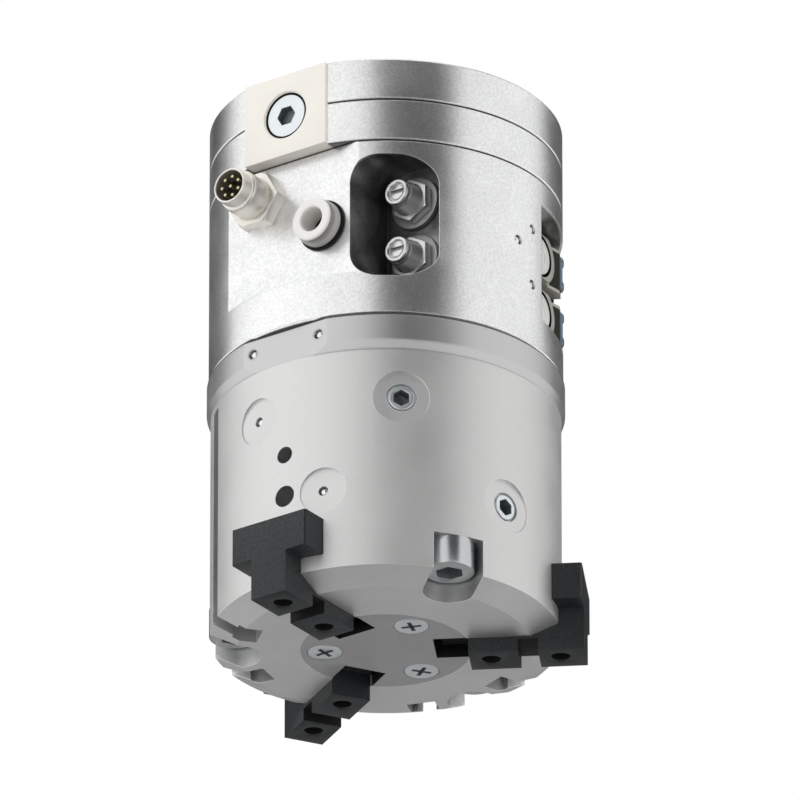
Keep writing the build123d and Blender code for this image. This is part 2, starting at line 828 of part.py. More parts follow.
def make_sealing_balls():
    balls = [turned(pressed_ball(ring_radius, height), angle) for angle, height in module_balls]
    for side in (-1, 1):
        ball = Rot(0, 0, -90) * pressed_ball(cover_flat_offset, cover_ball_z)
        balls.append(Pos(side * cover_ball_x, 0, 0) * ball)
    for angle, height in spot_balls:
        balls.append(turned(pressed_ball(housing_radius - spot_depth, height), angle))
    return balls


# Piston group
def make_piston():
    piston = disc(bore_radius - running_gap, piston_top, piston_bottom)
    piston += disc(rod_radius, piston_bottom, wedge_top)
    seal_top = piston_top - piston_seal_place
    piston -= ring(bore_radius, bore_radius - piston_seal_depth, seal_top, seal_top - piston_seal_height)
    band_bottom = piston_bottom + guide_band_place
    piston -= ring(bore_radius, bore_radius - guide_band_depth, band_bottom + guide_band_height, band_bottom)
    piston -= ring(magnet_outer + fit_gap, magnet_inner - fit_gap, piston_top + 1, piston_top - magnet_height)
    piston -= disc(piston_screw_radius + fit_gap, piston_top + 1, wedge_top - 1)
    piston -= disc(piston_screw_head_radius + fit_gap, piston_top + 1, piston_top - piston_screw_head_height)
    return piston


def make_piston_seal():
    seal_top = piston_top - piston_seal_place - fit_gap
    return ring(bore_radius - fit_gap, bore_radius - piston_seal_depth + fit_gap, seal_top,
                seal_top - piston_seal_height + 2 * fit_gap)


def make_guide_band():
    bottom = piston_bottom + guide_band_place + fit_gap
    return ring(bore_radius - fit_gap, bore_radius - guide_band_depth + fit_gap,
                bottom + guide_band_height - 2 * fit_gap, bottom)


def make_piston_magnet():
    return ring(magnet_outer, magnet_inner, piston_top, piston_top - magnet_height + fit_gap)


def make_piston_screw():
    return socket_screw(piston_screw_radius, piston_screw_head_radius, piston_screw_head_height,
                        piston_screw_hex, piston_top - piston_screw_head_height,
                        wedge_top - piston_screw_engagement)


def make_rod_guide():
    guide = disc(bore_radius - fit_gap, guide_top, guide_bottom)
    guide -= disc(rod_radius + running_gap, guide_top + 1, guide_bottom - 1)
    return guide - disc(rod_guide_seal_radius, guide_top + 1, guide_top - rod_guide_seal_height)


def make_rod_seal():
    return ring(rod_guide_seal_radius - fit_gap, rod_radius + running_gap, guide_top,
                guide_top - rod_guide_seal_height + fit_gap)


def make_retaining_ring():
    outer = bore_radius + retaining_groove_depth - fit_gap
    return ring(outer, outer - retaining_ring_width, ring_top - fit_gap, guide_top + fit_gap)


# Wedge hook: three inclined arms with T grooves that pull the jaws
def incline_x(height, offset):
    """The inclined face of a jaw at a height, moved off the face towards the wedge by an offset."""
    return jaw_inner_end + (height - incline_foot) - offset * root2


def incline_band(near, far, low, high):
    """The outline between two offsets of the inclined face, from one height to another."""
    return [(incline_x(low, near), low), (incline_x(high, near), high),
            (incline_x(high, far), high), (incline_x(low, far), low)]


def make_wedge_hook():
    arm = block(0, wedge_reach, -wedge_arm_width / 2, wedge_arm_width / 2, wedge_bottom, wedge_top)
    wedge = arm
    for angle in (120, 240):
        wedge += turned(arm, angle)
    low = wedge_bottom - 2 * hook_web_height
    high = wedge_top + 2 * hook_web_height
    face = prism([(incline_x(low, running_gap), low), (2 * housing_radius, low),
                  (2 * housing_radius, high), (incline_x(high, running_gap), high)], passage_width)
    head_far = hook_web_height + hook_head_height + running_gap
    web = prism(incline_band(-1, hook_web_height, low, high), hook_web_width + 2 * running_gap)
    head = prism(incline_band(hook_web_height - running_gap, head_far, low, high),
                 hook_head_width + 2 * running_gap)
    for cut in around(face + web + head, (0, 120, 240)):
        wedge -= cut
    wedge = turned(wedge, jaw_angles[0])
    return wedge - disc(piston_screw_radius + fit_gap, wedge_top + 1, wedge_top - piston_screw_engagement - 1)


# Jaw: one T bar with an inclined hook at its inner end
def make_jaw(angle):
    groove_roof = jaw_face + pad_groove_depth
    jaw = prism([(jaw_inner_end, jaw_inner_bottom), (pad_inner_start, jaw_inner_bottom),
                 (pad_inner_start, jaw_face), (pad_groove_start, jaw_face),
                 (pad_groove_start, groove_roof), (pad_groove_end, groove_roof),
                 (pad_groove_end, jaw_face), (jaw_outer_end, jaw_face), (jaw_outer_end, jaw_top),
                 (jaw_wide_inner_end, jaw_top), (jaw_inner_end, incline_foot)], jaw_neck)
    bar = block(jaw_wide_inner_end, jaw_outer_end, -jaw_wide / 2, jaw_wide / 2, jaw_shoulder, jaw_top)
    jaw += chamfer(bar.edges().filter_by(Axis.Z), jaw_edge)
    low = jaw_inner_bottom
    high = jaw_top + hook_foot_height
    hook_top = hook_web_height + hook_head_height
    hook = prism(incline_band(0, hook_web_height, low, high), hook_web_width)
    hook += prism(incline_band(hook_web_height, hook_top, low, high), hook_head_width)
    jaw += hook & block(hook_inner_end, jaw_outer_end, -jaw_wide / 2, jaw_wide / 2, incline_foot, jaw_top)
    for index in range(2):
        x = jaw_thread_first + index * jaw_thread_spacing
        jaw -= disc(jaw_thread_radius, jaw_face + jaw_thread_depth, jaw_face - 1, x, 0)
        mouth = Cone(jaw_thread_radius + 2 * jaw_edge, jaw_thread_radius, 2 * jaw_edge)
        jaw -= Pos(x, 0, jaw_face + jaw_edge) * mouth
    return turned(jaw, angle)


# Gripper housing: cylinder above, jaw guides below
def jaw_guide():
    """The T slot of one jaw, on the +X side."""
    half = jaw_wide / 2 + running_gap
    start = jaw_wide_inner_end - stroke - free_gap
    slot = block(start, 2 * housing_radius, -half, half, jaw_shoulder - running_gap, jaw_top + running_gap)
    neck = jaw_neck / 2 + running_gap
    return slot + block(start, 2 * housing_radius, -neck, neck, housing_bottom - 1, jaw_top)


def screw_pocket():
    """The pocket of one long screw's head, open outwards, on the +X side."""
    half = mount_pocket_width / 2
    pocket = disc(half, screw_seat, housing_bottom - 1, mount_screw_circle, 0)
    pocket += block(mount_screw_circle, 2 * housing_radius, -half, half, housing_bottom - 1, screw_seat)
    return pocket + disc(mount_hole_radius, cover_bottom + 1, screw_seat - 1, mount_screw_circle, 0)


def sensor_slot():
    """One sensor slot with lips, on the +X side."""
    top = cover_bottom - sensor_roof
    slot = block(sensor_floor, 2 * housing_radius, -sensor_mouth / 2, sensor_mouth / 2,
                 housing_bottom - 1, top)
    return slot + block(sensor_floor, sensor_lip, -sensor_width / 2, sensor_width / 2,
                        housing_bottom - 1, top)


def spot_face(radius, height):
    """A flat round seat milled into the housing wall, on the +X side."""
    return along_x(radius, housing_radius - spot_depth, housing_radius + 1, 0, height)


def make_gripper_housing():
    chamfer_top = housing_bottom + bottom_chamfer_height
    body = disc(housing_radius, cover_bottom, chamfer_top)
    cone = Cone(bottom_radius, housing_radius, bottom_chamfer_height)
    body += Pos(0, 0, (chamfer_top + housing_bottom) / 2) * cone
    body -= disc(bore_radius, cover_bottom + 1, guide_bottom)
    body -= ring(bore_radius + retaining_groove_depth, bore_radius - 1, ring_top, guide_top)
    arm = block(0, passage_radius, -passage_width / 2, passage_width / 2, cover_back, guide_bottom)
    for cut in around(arm + jaw_guide(), jaw_angles):
        body -= cut
    body -= disc(centre_cover_radius + running_gap, cover_back, housing_bottom - 1)
    for cut in around(screw_pocket(), screw_angles):
        body -= cut
    for angle in screw_angles:
        x, y = circle_place(centre_screw_circle, angle)
        body -= disc(centre_screw_radius + fit_gap, housing_bottom + centre_screw_length + 1, cover_back - 1, x, y)
    for cut in around(sensor_slot(), sensor_angles):
        body -= cut
    for angle, height in spot_balls:
        body -= turned(spot_face(spot_radius, height), angle)
        body -= turned(ball_hole(housing_radius - spot_depth, height), angle)
    for angle, height in plug_places:
        seat = housing_radius - spot_depth
        body -= turned(spot_face(port_spot_radius, height), angle)
        body -= turned(along_x(port_radius, seat - port_depth, seat + 1, 0, height), angle)
    for radius, height in side_holes:
        hole = along_x(radius, housing_radius - side_hole_depth, housing_radius + 1, 0, height)
        body -= turned(hole, side_hole_angle)
    return body


def make_port_plugs():
    plugs = []
    seat = housing_radius - spot_depth
    for angle, height in plug_places:
        plug = along_x(port_radius - fit_gap, seat - port_plug_length, seat, 0, height)
        hexagon = Rot(0, 90, 0) * RegularPolygon(port_plug_hex / 2, 6, major_radius=False)
        plug -= Pos(seat - port_plug_length / 2, 0, height) * extrude(hexagon, amount=port_plug_length)
        plugs.append(turned(plug, angle))
    return plugs


# Centre cover and its countersunk screws
def countersunk_up(radius, head_radius, face, length, x, y):
    """A countersunk screw pointing up, with the flat of its head at this height."""
    rim = edge_chamfer / 2
    cone_height = head_radius - radius
    head = disc(head_radius, face + rim, face, x, y)
    cone = Pos(x, y, face + rim + cone_height / 2) * Cone(head_radius, radius, cone_height)
    return head + cone + disc(radius, face + length, face + rim + cone_height, x, y)


def make_centre_cover():
    cover = disc(centre_cover_radius, cover_back, housing_bottom)
    half = centre_slot_width / 2
    slot = block(centre_slot_end, 2 * centre_cover_radius, -half, half, housing_bottom - 1, cover_back + 1)
    for cut in around(slot, jaw_angles):
        cover -= cut
    for angle in screw_angles:
        x, y = circle_place(centre_screw_circle, angle)
        cover -= countersunk_up(centre_screw_radius + fit_gap, centre_screw_head_radius + fit_gap,
                                housing_bottom, centre_screw_length, x, y)
    return cover


def make_centre_cover_screws():
    screws = []
    half = cross_recess_length / 2
    thin = cross_recess_width / 2
    cross = block(-half, half, -thin, thin, housing_bottom - 1, housing_bottom + cross_recess_depth)
    cross += block(-thin, thin, -half, half, housing_bottom - 1, housing_bottom + cross_recess_depth)
    for index, angle in enumerate(screw_angles):
        x, y = circle_place(centre_screw_circle, angle)
        screw = countersunk_up(centre_screw_radius, centre_screw_head_radius, housing_bottom,
                               centre_screw_length, x, y)
        screws.append(screw - Pos(x, y, 0) * Rot(0, 0, 20 + 35 * index) * cross)
    return screws


def make_mounting_screws():
    screws = []
    for angle in screw_angles:
        x, y = circle_place(mount_screw_circle, angle)
        screws.append(socket_screw(mount_screw_radius, mount_screw_head_radius, mount_screw_head_height,
                                   mount_screw_hex, screw_seat, screw_tip, x, y))
    return screws


save("adapter_plate", make_adapter_plate())
save("locking_plate", make_locking_plate())
save("locking_screws", *make_locking_screws())
save("clamp_plate", make_clamp_plate())
save("clamp_screw", make_clamp_screw())
save("module_housing", make_module_housing())
save("connector_shell", make_connector_shell())
save("connector_nut", make_connector_nut())
save("connector_insert", make_connector_insert())
save("connector_pins", *make_connector_pins())
save("control_board", make_control_board())
save("air_fitting_seal", make_fitting_seal())
save("air_fitting_body", make_fitting_body())
save("tube_seal", make_tube_seal())
save("release_collar", make_release_collar())
for number, height in enumerate(throttle_heights(), start=1):
    save(f"throttle_flange_{number}", make_throttle_flange(height))
    save(f"throttle_body_{number}", make_throttle_body(height))
    save(f"adjusting_screw_{number}", make_adjusting_screw(height))
for number, height in enumerate(valve_heights(), start=1):
    save(f"valve_block_{number}", make_valve_block(height))
    save(f"valve_cap_{number}", make_valve_cap(height))
    save(f"valve_coil_{number}", make_valve_coil(height))
    save(f"valve_cover_{number}", make_valve_cover(height))
save("valve_cover_screws", *make_valve_screws())
save("cylinder_cover", make_cylinder_cover())
save("cover_seal", make_cover_seal())
save("sealing_balls", *make_sealing_balls())
save("gripper_housing", make_gripper_housing())
save("port_plugs", *make_port_plugs())
save("piston", make_piston())
save("piston_seal", make_piston_seal())
save("piston_guide_band", make_guide_band())
save("piston_magnet", make_piston_magnet())
save("piston_screw", make_piston_screw())
save("rod_guide", make_rod_guide())
save("rod_seal", make_rod_seal())
save("retaining_ring", make_retaining_ring())
save("wedge_hook", make_wedge_hook())
for number, angle in enumerate(jaw_angles, start=1):
    save(f"jaw_{number}", make_jaw(angle))
save("centre_cover", make_centre_cover())
save("centre_cover_screws", *make_centre_cover_screws())
save("mounting_screws", *make_mounting_screws())
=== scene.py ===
# %% [markdown]
# # A three-finger gripper, dressed for a studio picture
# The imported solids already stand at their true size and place. This lesson gives them their finishes,
# and models again the small turned and moulded pieces whose soft edges the solids leave out.

import json
import math

import bpy
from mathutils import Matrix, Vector


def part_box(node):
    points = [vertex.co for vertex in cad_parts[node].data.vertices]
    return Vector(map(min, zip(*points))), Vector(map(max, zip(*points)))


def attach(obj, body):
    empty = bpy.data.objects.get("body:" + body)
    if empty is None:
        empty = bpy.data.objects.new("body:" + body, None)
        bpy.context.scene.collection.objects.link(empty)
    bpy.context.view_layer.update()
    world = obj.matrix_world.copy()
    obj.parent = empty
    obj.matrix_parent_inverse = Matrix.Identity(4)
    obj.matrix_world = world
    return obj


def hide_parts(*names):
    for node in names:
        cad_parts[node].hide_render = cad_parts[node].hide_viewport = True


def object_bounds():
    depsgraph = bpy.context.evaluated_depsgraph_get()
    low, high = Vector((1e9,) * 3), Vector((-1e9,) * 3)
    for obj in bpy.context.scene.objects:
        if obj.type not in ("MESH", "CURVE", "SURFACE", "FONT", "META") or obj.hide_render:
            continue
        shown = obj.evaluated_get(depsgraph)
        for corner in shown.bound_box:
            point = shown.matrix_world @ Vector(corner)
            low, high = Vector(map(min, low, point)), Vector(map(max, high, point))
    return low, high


mm = 0.001
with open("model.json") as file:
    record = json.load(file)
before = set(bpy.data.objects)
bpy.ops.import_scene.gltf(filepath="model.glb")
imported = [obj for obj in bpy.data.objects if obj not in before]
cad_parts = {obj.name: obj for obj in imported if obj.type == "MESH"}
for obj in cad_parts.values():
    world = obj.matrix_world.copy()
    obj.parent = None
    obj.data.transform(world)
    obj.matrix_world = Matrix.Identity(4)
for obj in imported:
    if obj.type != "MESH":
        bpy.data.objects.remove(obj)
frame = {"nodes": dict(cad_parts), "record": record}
solid_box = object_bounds()
scene = bpy.context.scene
for node in frame["nodes"].values():
    node.select_set(False)
print("solids:", len(frame["nodes"]), "from", tuple(solid_box[0]), "to", tuple(solid_box[1]))

# %% [markdown]
# The picture is taken from below with a very long lens, so upright lines stay almost parallel.
# A long lens far away does the same here, and the frame is square.

# %% Camera
camera_place = Vector((3.1404, -4.3949, -2.7053))
camera_target = Vector((0.00363, 0.00259, -0.09334))
camera_data = bpy.data.cameras.new("long_lens")
camera_data.lens = 848.85
camera_data.sensor_width = 36.0
camera_data.clip_start = 0.5
camera_data.clip_end = 30.0
camera = bpy.data.objects.new("camera", camera_data)
camera.location = camera_place
camera.rotation_euler = (camera_target - camera_place).to_track_quat("-Z", "Y").to_euler()
scene.collection.objects.link(camera)
scene.camera = camera
print("camera stands", round((camera_target - camera_place).length, 2), "m away")

# %% [markdown]
# Turned metal is a mirror of the room, so the room is what gives a round body its upright bands.
# The world is white to the lens and to reflections, and much dimmer as a light, so that
# the lamps can still model the shapes.

# %% World
seen_strength = 1.0
fill_strength = 0.42
world = bpy.data.worlds.new("white_room")
scene.world = world
world.use_nodes = True
world_nodes = world.node_tree.nodes
world_links = world.node_tree.links
world_nodes.clear()


def even_light(strength):
    """White light of one strength from everywhere."""
    light = world_nodes.new("ShaderNodeBackground")
    light.inputs["Color"].default_value = (1, 1, 1, 1)
    light.inputs["Strength"].default_value = strength
    return light.outputs[0]


ray_kind = world_nodes.new("ShaderNodeLightPath")
seen = ray_kind.outputs["Is Camera Ray"]
for kind in ("Is Glossy Ray", "Is Transmission Ray"):
    larger = world_nodes.new("ShaderNodeMath")
    larger.operation = "MAXIMUM"
    world_links.new(seen, larger.inputs[0])
    world_links.new(ray_kind.outputs[kind], larger.inputs[1])
    seen = larger.outputs[0]
choice = world_nodes.new("ShaderNodeMixShader")
world_links.new(seen, choice.inputs[0])
world_links.new(even_light(fill_strength), choice.inputs[1])
world_links.new(even_light(seen_strength), choice.inputs[2])
world_out = world_nodes.new("ShaderNodeOutputWorld")
world_links.new(choice.outputs[0], world_out.inputs["Surface"])
scene.view_settings.view_transform = "Standard"
print("the white room is seen at", seen_strength, "and lights at", fill_strength)

# %% [markdown]
# Four soft lamps stand round the body. They light the plastics, the jaws and all that isn't pure metal.
# They are kept out of the reflections, so the bright skins see only the world and the cards below.

# %% Lamps
body_middle = Vector((0, 0, -0.093))
camera_turn = math.atan2(camera_place.y, camera_place.x)


def place_round(turn, rise, distance):
    """A point round the body: degrees to the right of the lens, degrees above the horizon, metres."""
    angle = camera_turn + math.radians(turn)
    flat = math.cos(math.radians(rise)) * distance
    return body_middle + Vector((flat * math.cos(angle), flat * math.sin(angle),
                                 math.sin(math.radians(rise)) * distance))


def aim(obj):
    """Turns a lamp or a card towards the body."""
    obj.rotation_euler = (body_middle - obj.location).to_track_quat("-Z", "Y").to_euler()


def soft_lamp(name, turn, rise, distance, size, watts):
    """A square soft box."""
    data = bpy.data.lights.new(name, "AREA")
    data.size = size
    data.energy = watts
    lamp = bpy.data.objects.new(name, data)
    lamp.location = place_round(turn, rise, distance)
    lamp.visible_glossy = False
    scene.collection.objects.link(lamp)
    aim(lamp)
    print(name, "gives", watts, "watts")


soft_lamp("lamp_left", -62, 18, 1.6, 1.0, 14)
soft_lamp("lamp_right", 58, 8, 1.6, 1.0, 8)
soft_lamp("lamp_above", 10, 62, 1.7, 0.9, 5)
soft_lamp("lamp_below", 5, -70, 1.6, 0.9, 3)

# %% [markdown]
# A photographer holds cards beside shiny metal to draw its bands. These do the same, and only
# reflections see them: dark ones for the dark bands, two pale ones at the sides, and
# mid-grey ones behind and below for the faces that point down.

# %% Cards for the reflections
card_distance = 2.2


def card_paint(name, level):
    """A flat paint of one even brightness."""
    paint = bpy.data.materials.new(name)
    paint.use_nodes = True
    shader = paint.node_tree.nodes["Principled BSDF"]
    shader.inputs["Base Color"].default_value = (0.01, 0.01, 0.01, 1)
    shader.inputs["Roughness"].default_value = 1.0
    shader.inputs["Specular IOR Level"].default_value = 0.0
    shader.inputs["Emission Color"].default_value = (1, 1, 1, 1)
    shader.inputs["Emission Strength"].default_value = level
    return paint


def card(name, turn, rise, width, height, level):
    """A card that only reflections see."""
    bpy.ops.object.select_all(action="DESELECT")
    bpy.ops.mesh.primitive_plane_add(size=1, location=place_round(turn, rise, card_distance))
    sheet = bpy.context.object
    sheet.name = name
    sheet.scale = (width, height, 1)
    aim(sheet)
    sheet.data.materials.append(card_paint(name, level))
    sheet.visible_camera = False
    sheet.visible_diffuse = False
    sheet.visible_shadow = False
    sheet.visible_transmission = False
    print(name, "is", width, "by", height, "m, brightness", level)


card("card_front", 19, 26, 1.9, 2.6, 0.07)
card("card_left", -77, 26, 2.6, 2.6, 1.10)
card("card_right", 92, 26, 2.6, 2.6, 0.92)
card("card_back_left", -152, 26, 2.3, 2.8, 0.05)
card("card_back_right", 153, 26, 2.3, 2.8, 0.05)
card("card_below_back", 180, -30, 3.6, 2.0, 0.38)
card("card_below", 180, -76, 3.2, 2.2, 0.31)
card("card_front_low", 14, -47, 1.7, 1.8, 0.05)

# %% [markdown]
# The floor is a pale plane under the jaws. The lens looks up through it, so its back is clear,
# and it neither lights nor shades the body.

# %% Floor
floor_gap = 0.0004
floor_height = solid_box[0].z - floor_gap
bpy.ops.object.select_all(action="DESELECT")
bpy.ops.mesh.primitive_plane_add(size=6, location=(0, 0, floor_height))
floor = bpy.context.object
floor.name = "floor"
floor_paint = bpy.data.materials.new("pale_floor")
floor_paint.use_nodes = True
floor_nodes = floor_paint.node_tree.nodes
floor_links = floor_paint.node_tree.links
floor_shader = floor_nodes["Principled BSDF"]
floor_shader.inputs["Base Color"].default_value = (0.86, 0.86, 0.85, 1)
floor_shader.inputs["Roughness"].default_value = 0.9
floor_clear = floor_nodes.new("ShaderNodeBsdfTransparent")
floor_side = floor_nodes.new("ShaderNodeNewGeometry")
floor_choice = floor_nodes.new("ShaderNodeMixShader")
floor_links.new(floor_side.outputs["Backfacing"], floor_choice.inputs[0])
floor_links.new(floor_shader.outputs[0], floor_choice.inputs[1])
floor_links.new(floor_clear.outputs[0], floor_choice.inputs[2])
floor_links.new(floor_choice.outputs[0], floor_nodes["Material Output"].inputs["Surface"])
floor.data.materials.append(floor_paint)
floor.visible_diffuse = False
floor.visible_glossy = False
floor.visible_shadow = False
print("floor at", round(floor_height, 4), "m")

# %% [markdown]
# Every finish is built from a few kinds of step, each a node or two: a sum, a noise, a run of colours,
# a relief. These helpers hold one step each. A sum or a mix takes plain numbers, or what another
# step gives.

# %% Steps of a finish
relief_strength = 0.5


def fed(links, socket, value):
    """Gives a socket its plain value, or links what another step gives."""
    if isinstance(value, (int, float, tuple)):
        socket.default_value = value
    else:
        links.new(value, socket)


def maths(nodes, links, kind, *values):
    """One sum on numbers."""
    step = nodes.new("ShaderNodeMath")
    step.operation = kind
    for socket, value in zip(step.inputs, values):
        fed(links, socket, value)
    return step.outputs[0]


def vector_maths(nodes, links, kind, *values, gives="Vector"):
    """One sum on places or directions."""
    step = nodes.new("ShaderNodeVectorMath")
    step.operation = kind
    for socket, value in zip(step.inputs, values):
        fed(links, socket, value)
    return step.outputs[gives]


def multiplied(nodes, links, colour, factor):
    """A colour made lighter or darker by a number."""
    scaled = nodes.new("ShaderNodeVectorMath")
    scaled.operation = "SCALE"
    links.new(colour, scaled.inputs[0])
    links.new(factor, scaled.inputs["Scale"])
    return scaled.outputs["Vector"]


def between(nodes, links, value, low, high, at_low, at_high):
    """A number moved from one range into another."""
    ranged = nodes.new("ShaderNodeMapRange")
    ranged.inputs["From Min"].default_value = low
    ranged.inputs["From Max"].default_value = high
    ranged.inputs["To Min"].default_value = at_low
    ranged.inputs["To Max"].default_value = at_high
    links.new(value, ranged.inputs["Value"])
    return ranged.outputs["Result"]


def mixed(nodes, links, factor, one, other, kind="FLOAT"):
    """One value where the factor is nothing, and the other where it is one."""
    blend = nodes.new("ShaderNodeMix")
    blend.data_type = kind
    fed(links, blend.inputs["Factor"], factor)
    fed(links, blend.inputs["A"], one)
    fed(links, blend.inputs["B"], other)
    return blend.outputs["Result"]


def noise(nodes, links, place, scale, detail):
    """A noise read from a place."""
    cloud = nodes.new("ShaderNodeTexNoise")
    cloud.inputs["Scale"].default_value = scale
    cloud.inputs["Detail"].default_value = detail
    links.new(place, cloud.inputs["Vector"])
    return cloud.outputs["Fac"]


def colour_run(nodes, links, factor, span, first_colour, last_colour):
    """A colour that changes while the factor goes through a span."""
    run = nodes.new("ShaderNodeValToRGB")
    first, last = run.color_ramp.elements
    first.position, last.position = span
    first.color = (*first_colour, 1)
    last.color = (*last_colour, 1)
    links.new(factor, run.inputs["Fac"])
    return run.outputs["Color"]


def relief(nodes, links, height, depth, normal=None):
    """The normal of a fine relief this many metres deep, on top of another normal where one is given."""
    bump = nodes.new("ShaderNodeBump")
    bump.inputs["Strength"].default_value = relief_strength
    bump.inputs["Distance"].default_value = depth
    links.new(height, bump.inputs["Height"])
    if normal is not None:
        links.new(normal, bump.inputs["Normal"])
    return bump.outputs["Normal"]


def parts_of(nodes, links, vector):
    """The X, Y and Z of a place or a direction."""
    split = nodes.new("ShaderNodeSeparateXYZ")
    links.new(vector, split.inputs[0])
    return split.outputs


def flattened(nodes, links, place):
    """A place without its height."""
    return vector_maths(nodes, links, "MULTIPLY", place, (1, 1, 0))


def axis_distance(nodes, links, place):
    """How far a place is from the upright axis."""
    return vector_maths(nodes, links, "LENGTH", flattened(nodes, links, place), gives="Value")


def true_normal(nodes):
    """The way the bare face points."""
    return nodes.new("ShaderNodeNewGeometry").outputs["True Normal"]


# %% [markdown]
# The walls of the pockets and holes in the two housings take a darker colour. This is painted shade for
# the little light that gets into them, and in the valve module it deepens towards the axis. They belong to
# the same solid, and the finish tells them apart by place: a point well inside the outer skin is in a
# pocket. On the gripper housing a face that points neither outwards nor inwards counts too. Separate
# pieces for the walls would work as well, but they would cut one real body in two.

# %% Where the pockets are
# Millimetres, apart from the last two, which have no unit.
module_skin = 55.6
module_flat = -50.2
module_top = -29.6
module_floor = -89.2
housing_skin = 54.5
housing_floor = -181.2
cone_radius = 46.4
cone_bottom = -181.3
wall_floor = -176.5
cone_slope = 2.185
wall_turn = 0.3


def all_of(nodes, links, *tests):
    """One where every test holds."""
    held = tests[0]
    for test in tests[1:]:
        held = maths(nodes, links, "MULTIPLY", held, test)
    return held


def side_wall(nodes, links, place):
    """One on a surface that faces neither outwards nor inwards, such as the wall of a pocket."""
    outward = vector_maths(nodes, links, "NORMALIZE", flattened(nodes, links, place))
    along = vector_maths(nodes, links, "DOT_PRODUCT", outward, true_normal(nodes), gives="Value")
    return maths(nodes, links, "LESS_THAN", maths(nodes, links, "ABSOLUTE", along), wall_turn)


def module_recess(nodes, links, place):
    """Inside the pockets of the valve module."""
    reach = axis_distance(nodes, links, place)
    parts = parts_of(nodes, links, place)
    return all_of(nodes, links,
                  maths(nodes, links, "LESS_THAN", reach, module_skin * mm),
                  maths(nodes, links, "GREATER_THAN", parts["Y"], module_flat * mm),
                  maths(nodes, links, "GREATER_THAN", parts["Z"], module_floor * mm),
                  maths(nodes, links, "LESS_THAN", parts["Z"], module_top * mm))


def housing_recess(nodes, links, place):
    """Inside the pockets, slots and holes of the gripper housing, but not on its lower cone."""
    reach = axis_distance(nodes, links, place)
    height = parts_of(nodes, links, place)["Z"]
    slope = maths(nodes, links, "MULTIPLY_ADD", height, -cone_slope, reach)
    deep = all_of(nodes, links,
                  maths(nodes, links, "LESS_THAN", reach, housing_skin * mm),
                  maths(nodes, links, "GREATER_THAN", height, housing_floor * mm),
                  maths(nodes, links, "LESS_THAN", slope, (cone_radius - cone_slope * cone_bottom) * mm))
    wall = all_of(nodes, links, side_wall(nodes, links, place),
                  maths(nodes, links, "GREATER_THAN", height, wall_floor * mm))
    return maths(nodes, links, "MAXIMUM", deep, wall)


# %% [markdown]
# A slow cloud varies the colour and the gloss, and a fine grain gives the relief. A narrow band along the
# edges is painted a little lighter: a painted highlight, which also stands for metal rubbed bright there
# by handling and tumbling. One helper keeps all finishes alike, so a finish is only a row of numbers. A
# painted picture of the surface would do too, but it would have to be unwrapped, and it would blur in a close
# view.

# %% Finish helper
cloud_scale = 60.0
cloud_detail = 5
cloud_span = (0.3, 0.7)
pocket_shade_span = (0.35, 0.65)
speckle_span = (0.35, 0.65)
speckle_detail = 2
wear_and_highlight_span = (0.80, 0.99)
edge_samples = 4
grain_detail = 3
line_scale = 2500.0
line_stretch = (0.01, 0.01, 1)
gloss_spread = 0.08
upward_limit = 0.9
seam_core = 0.7
finishes = {}


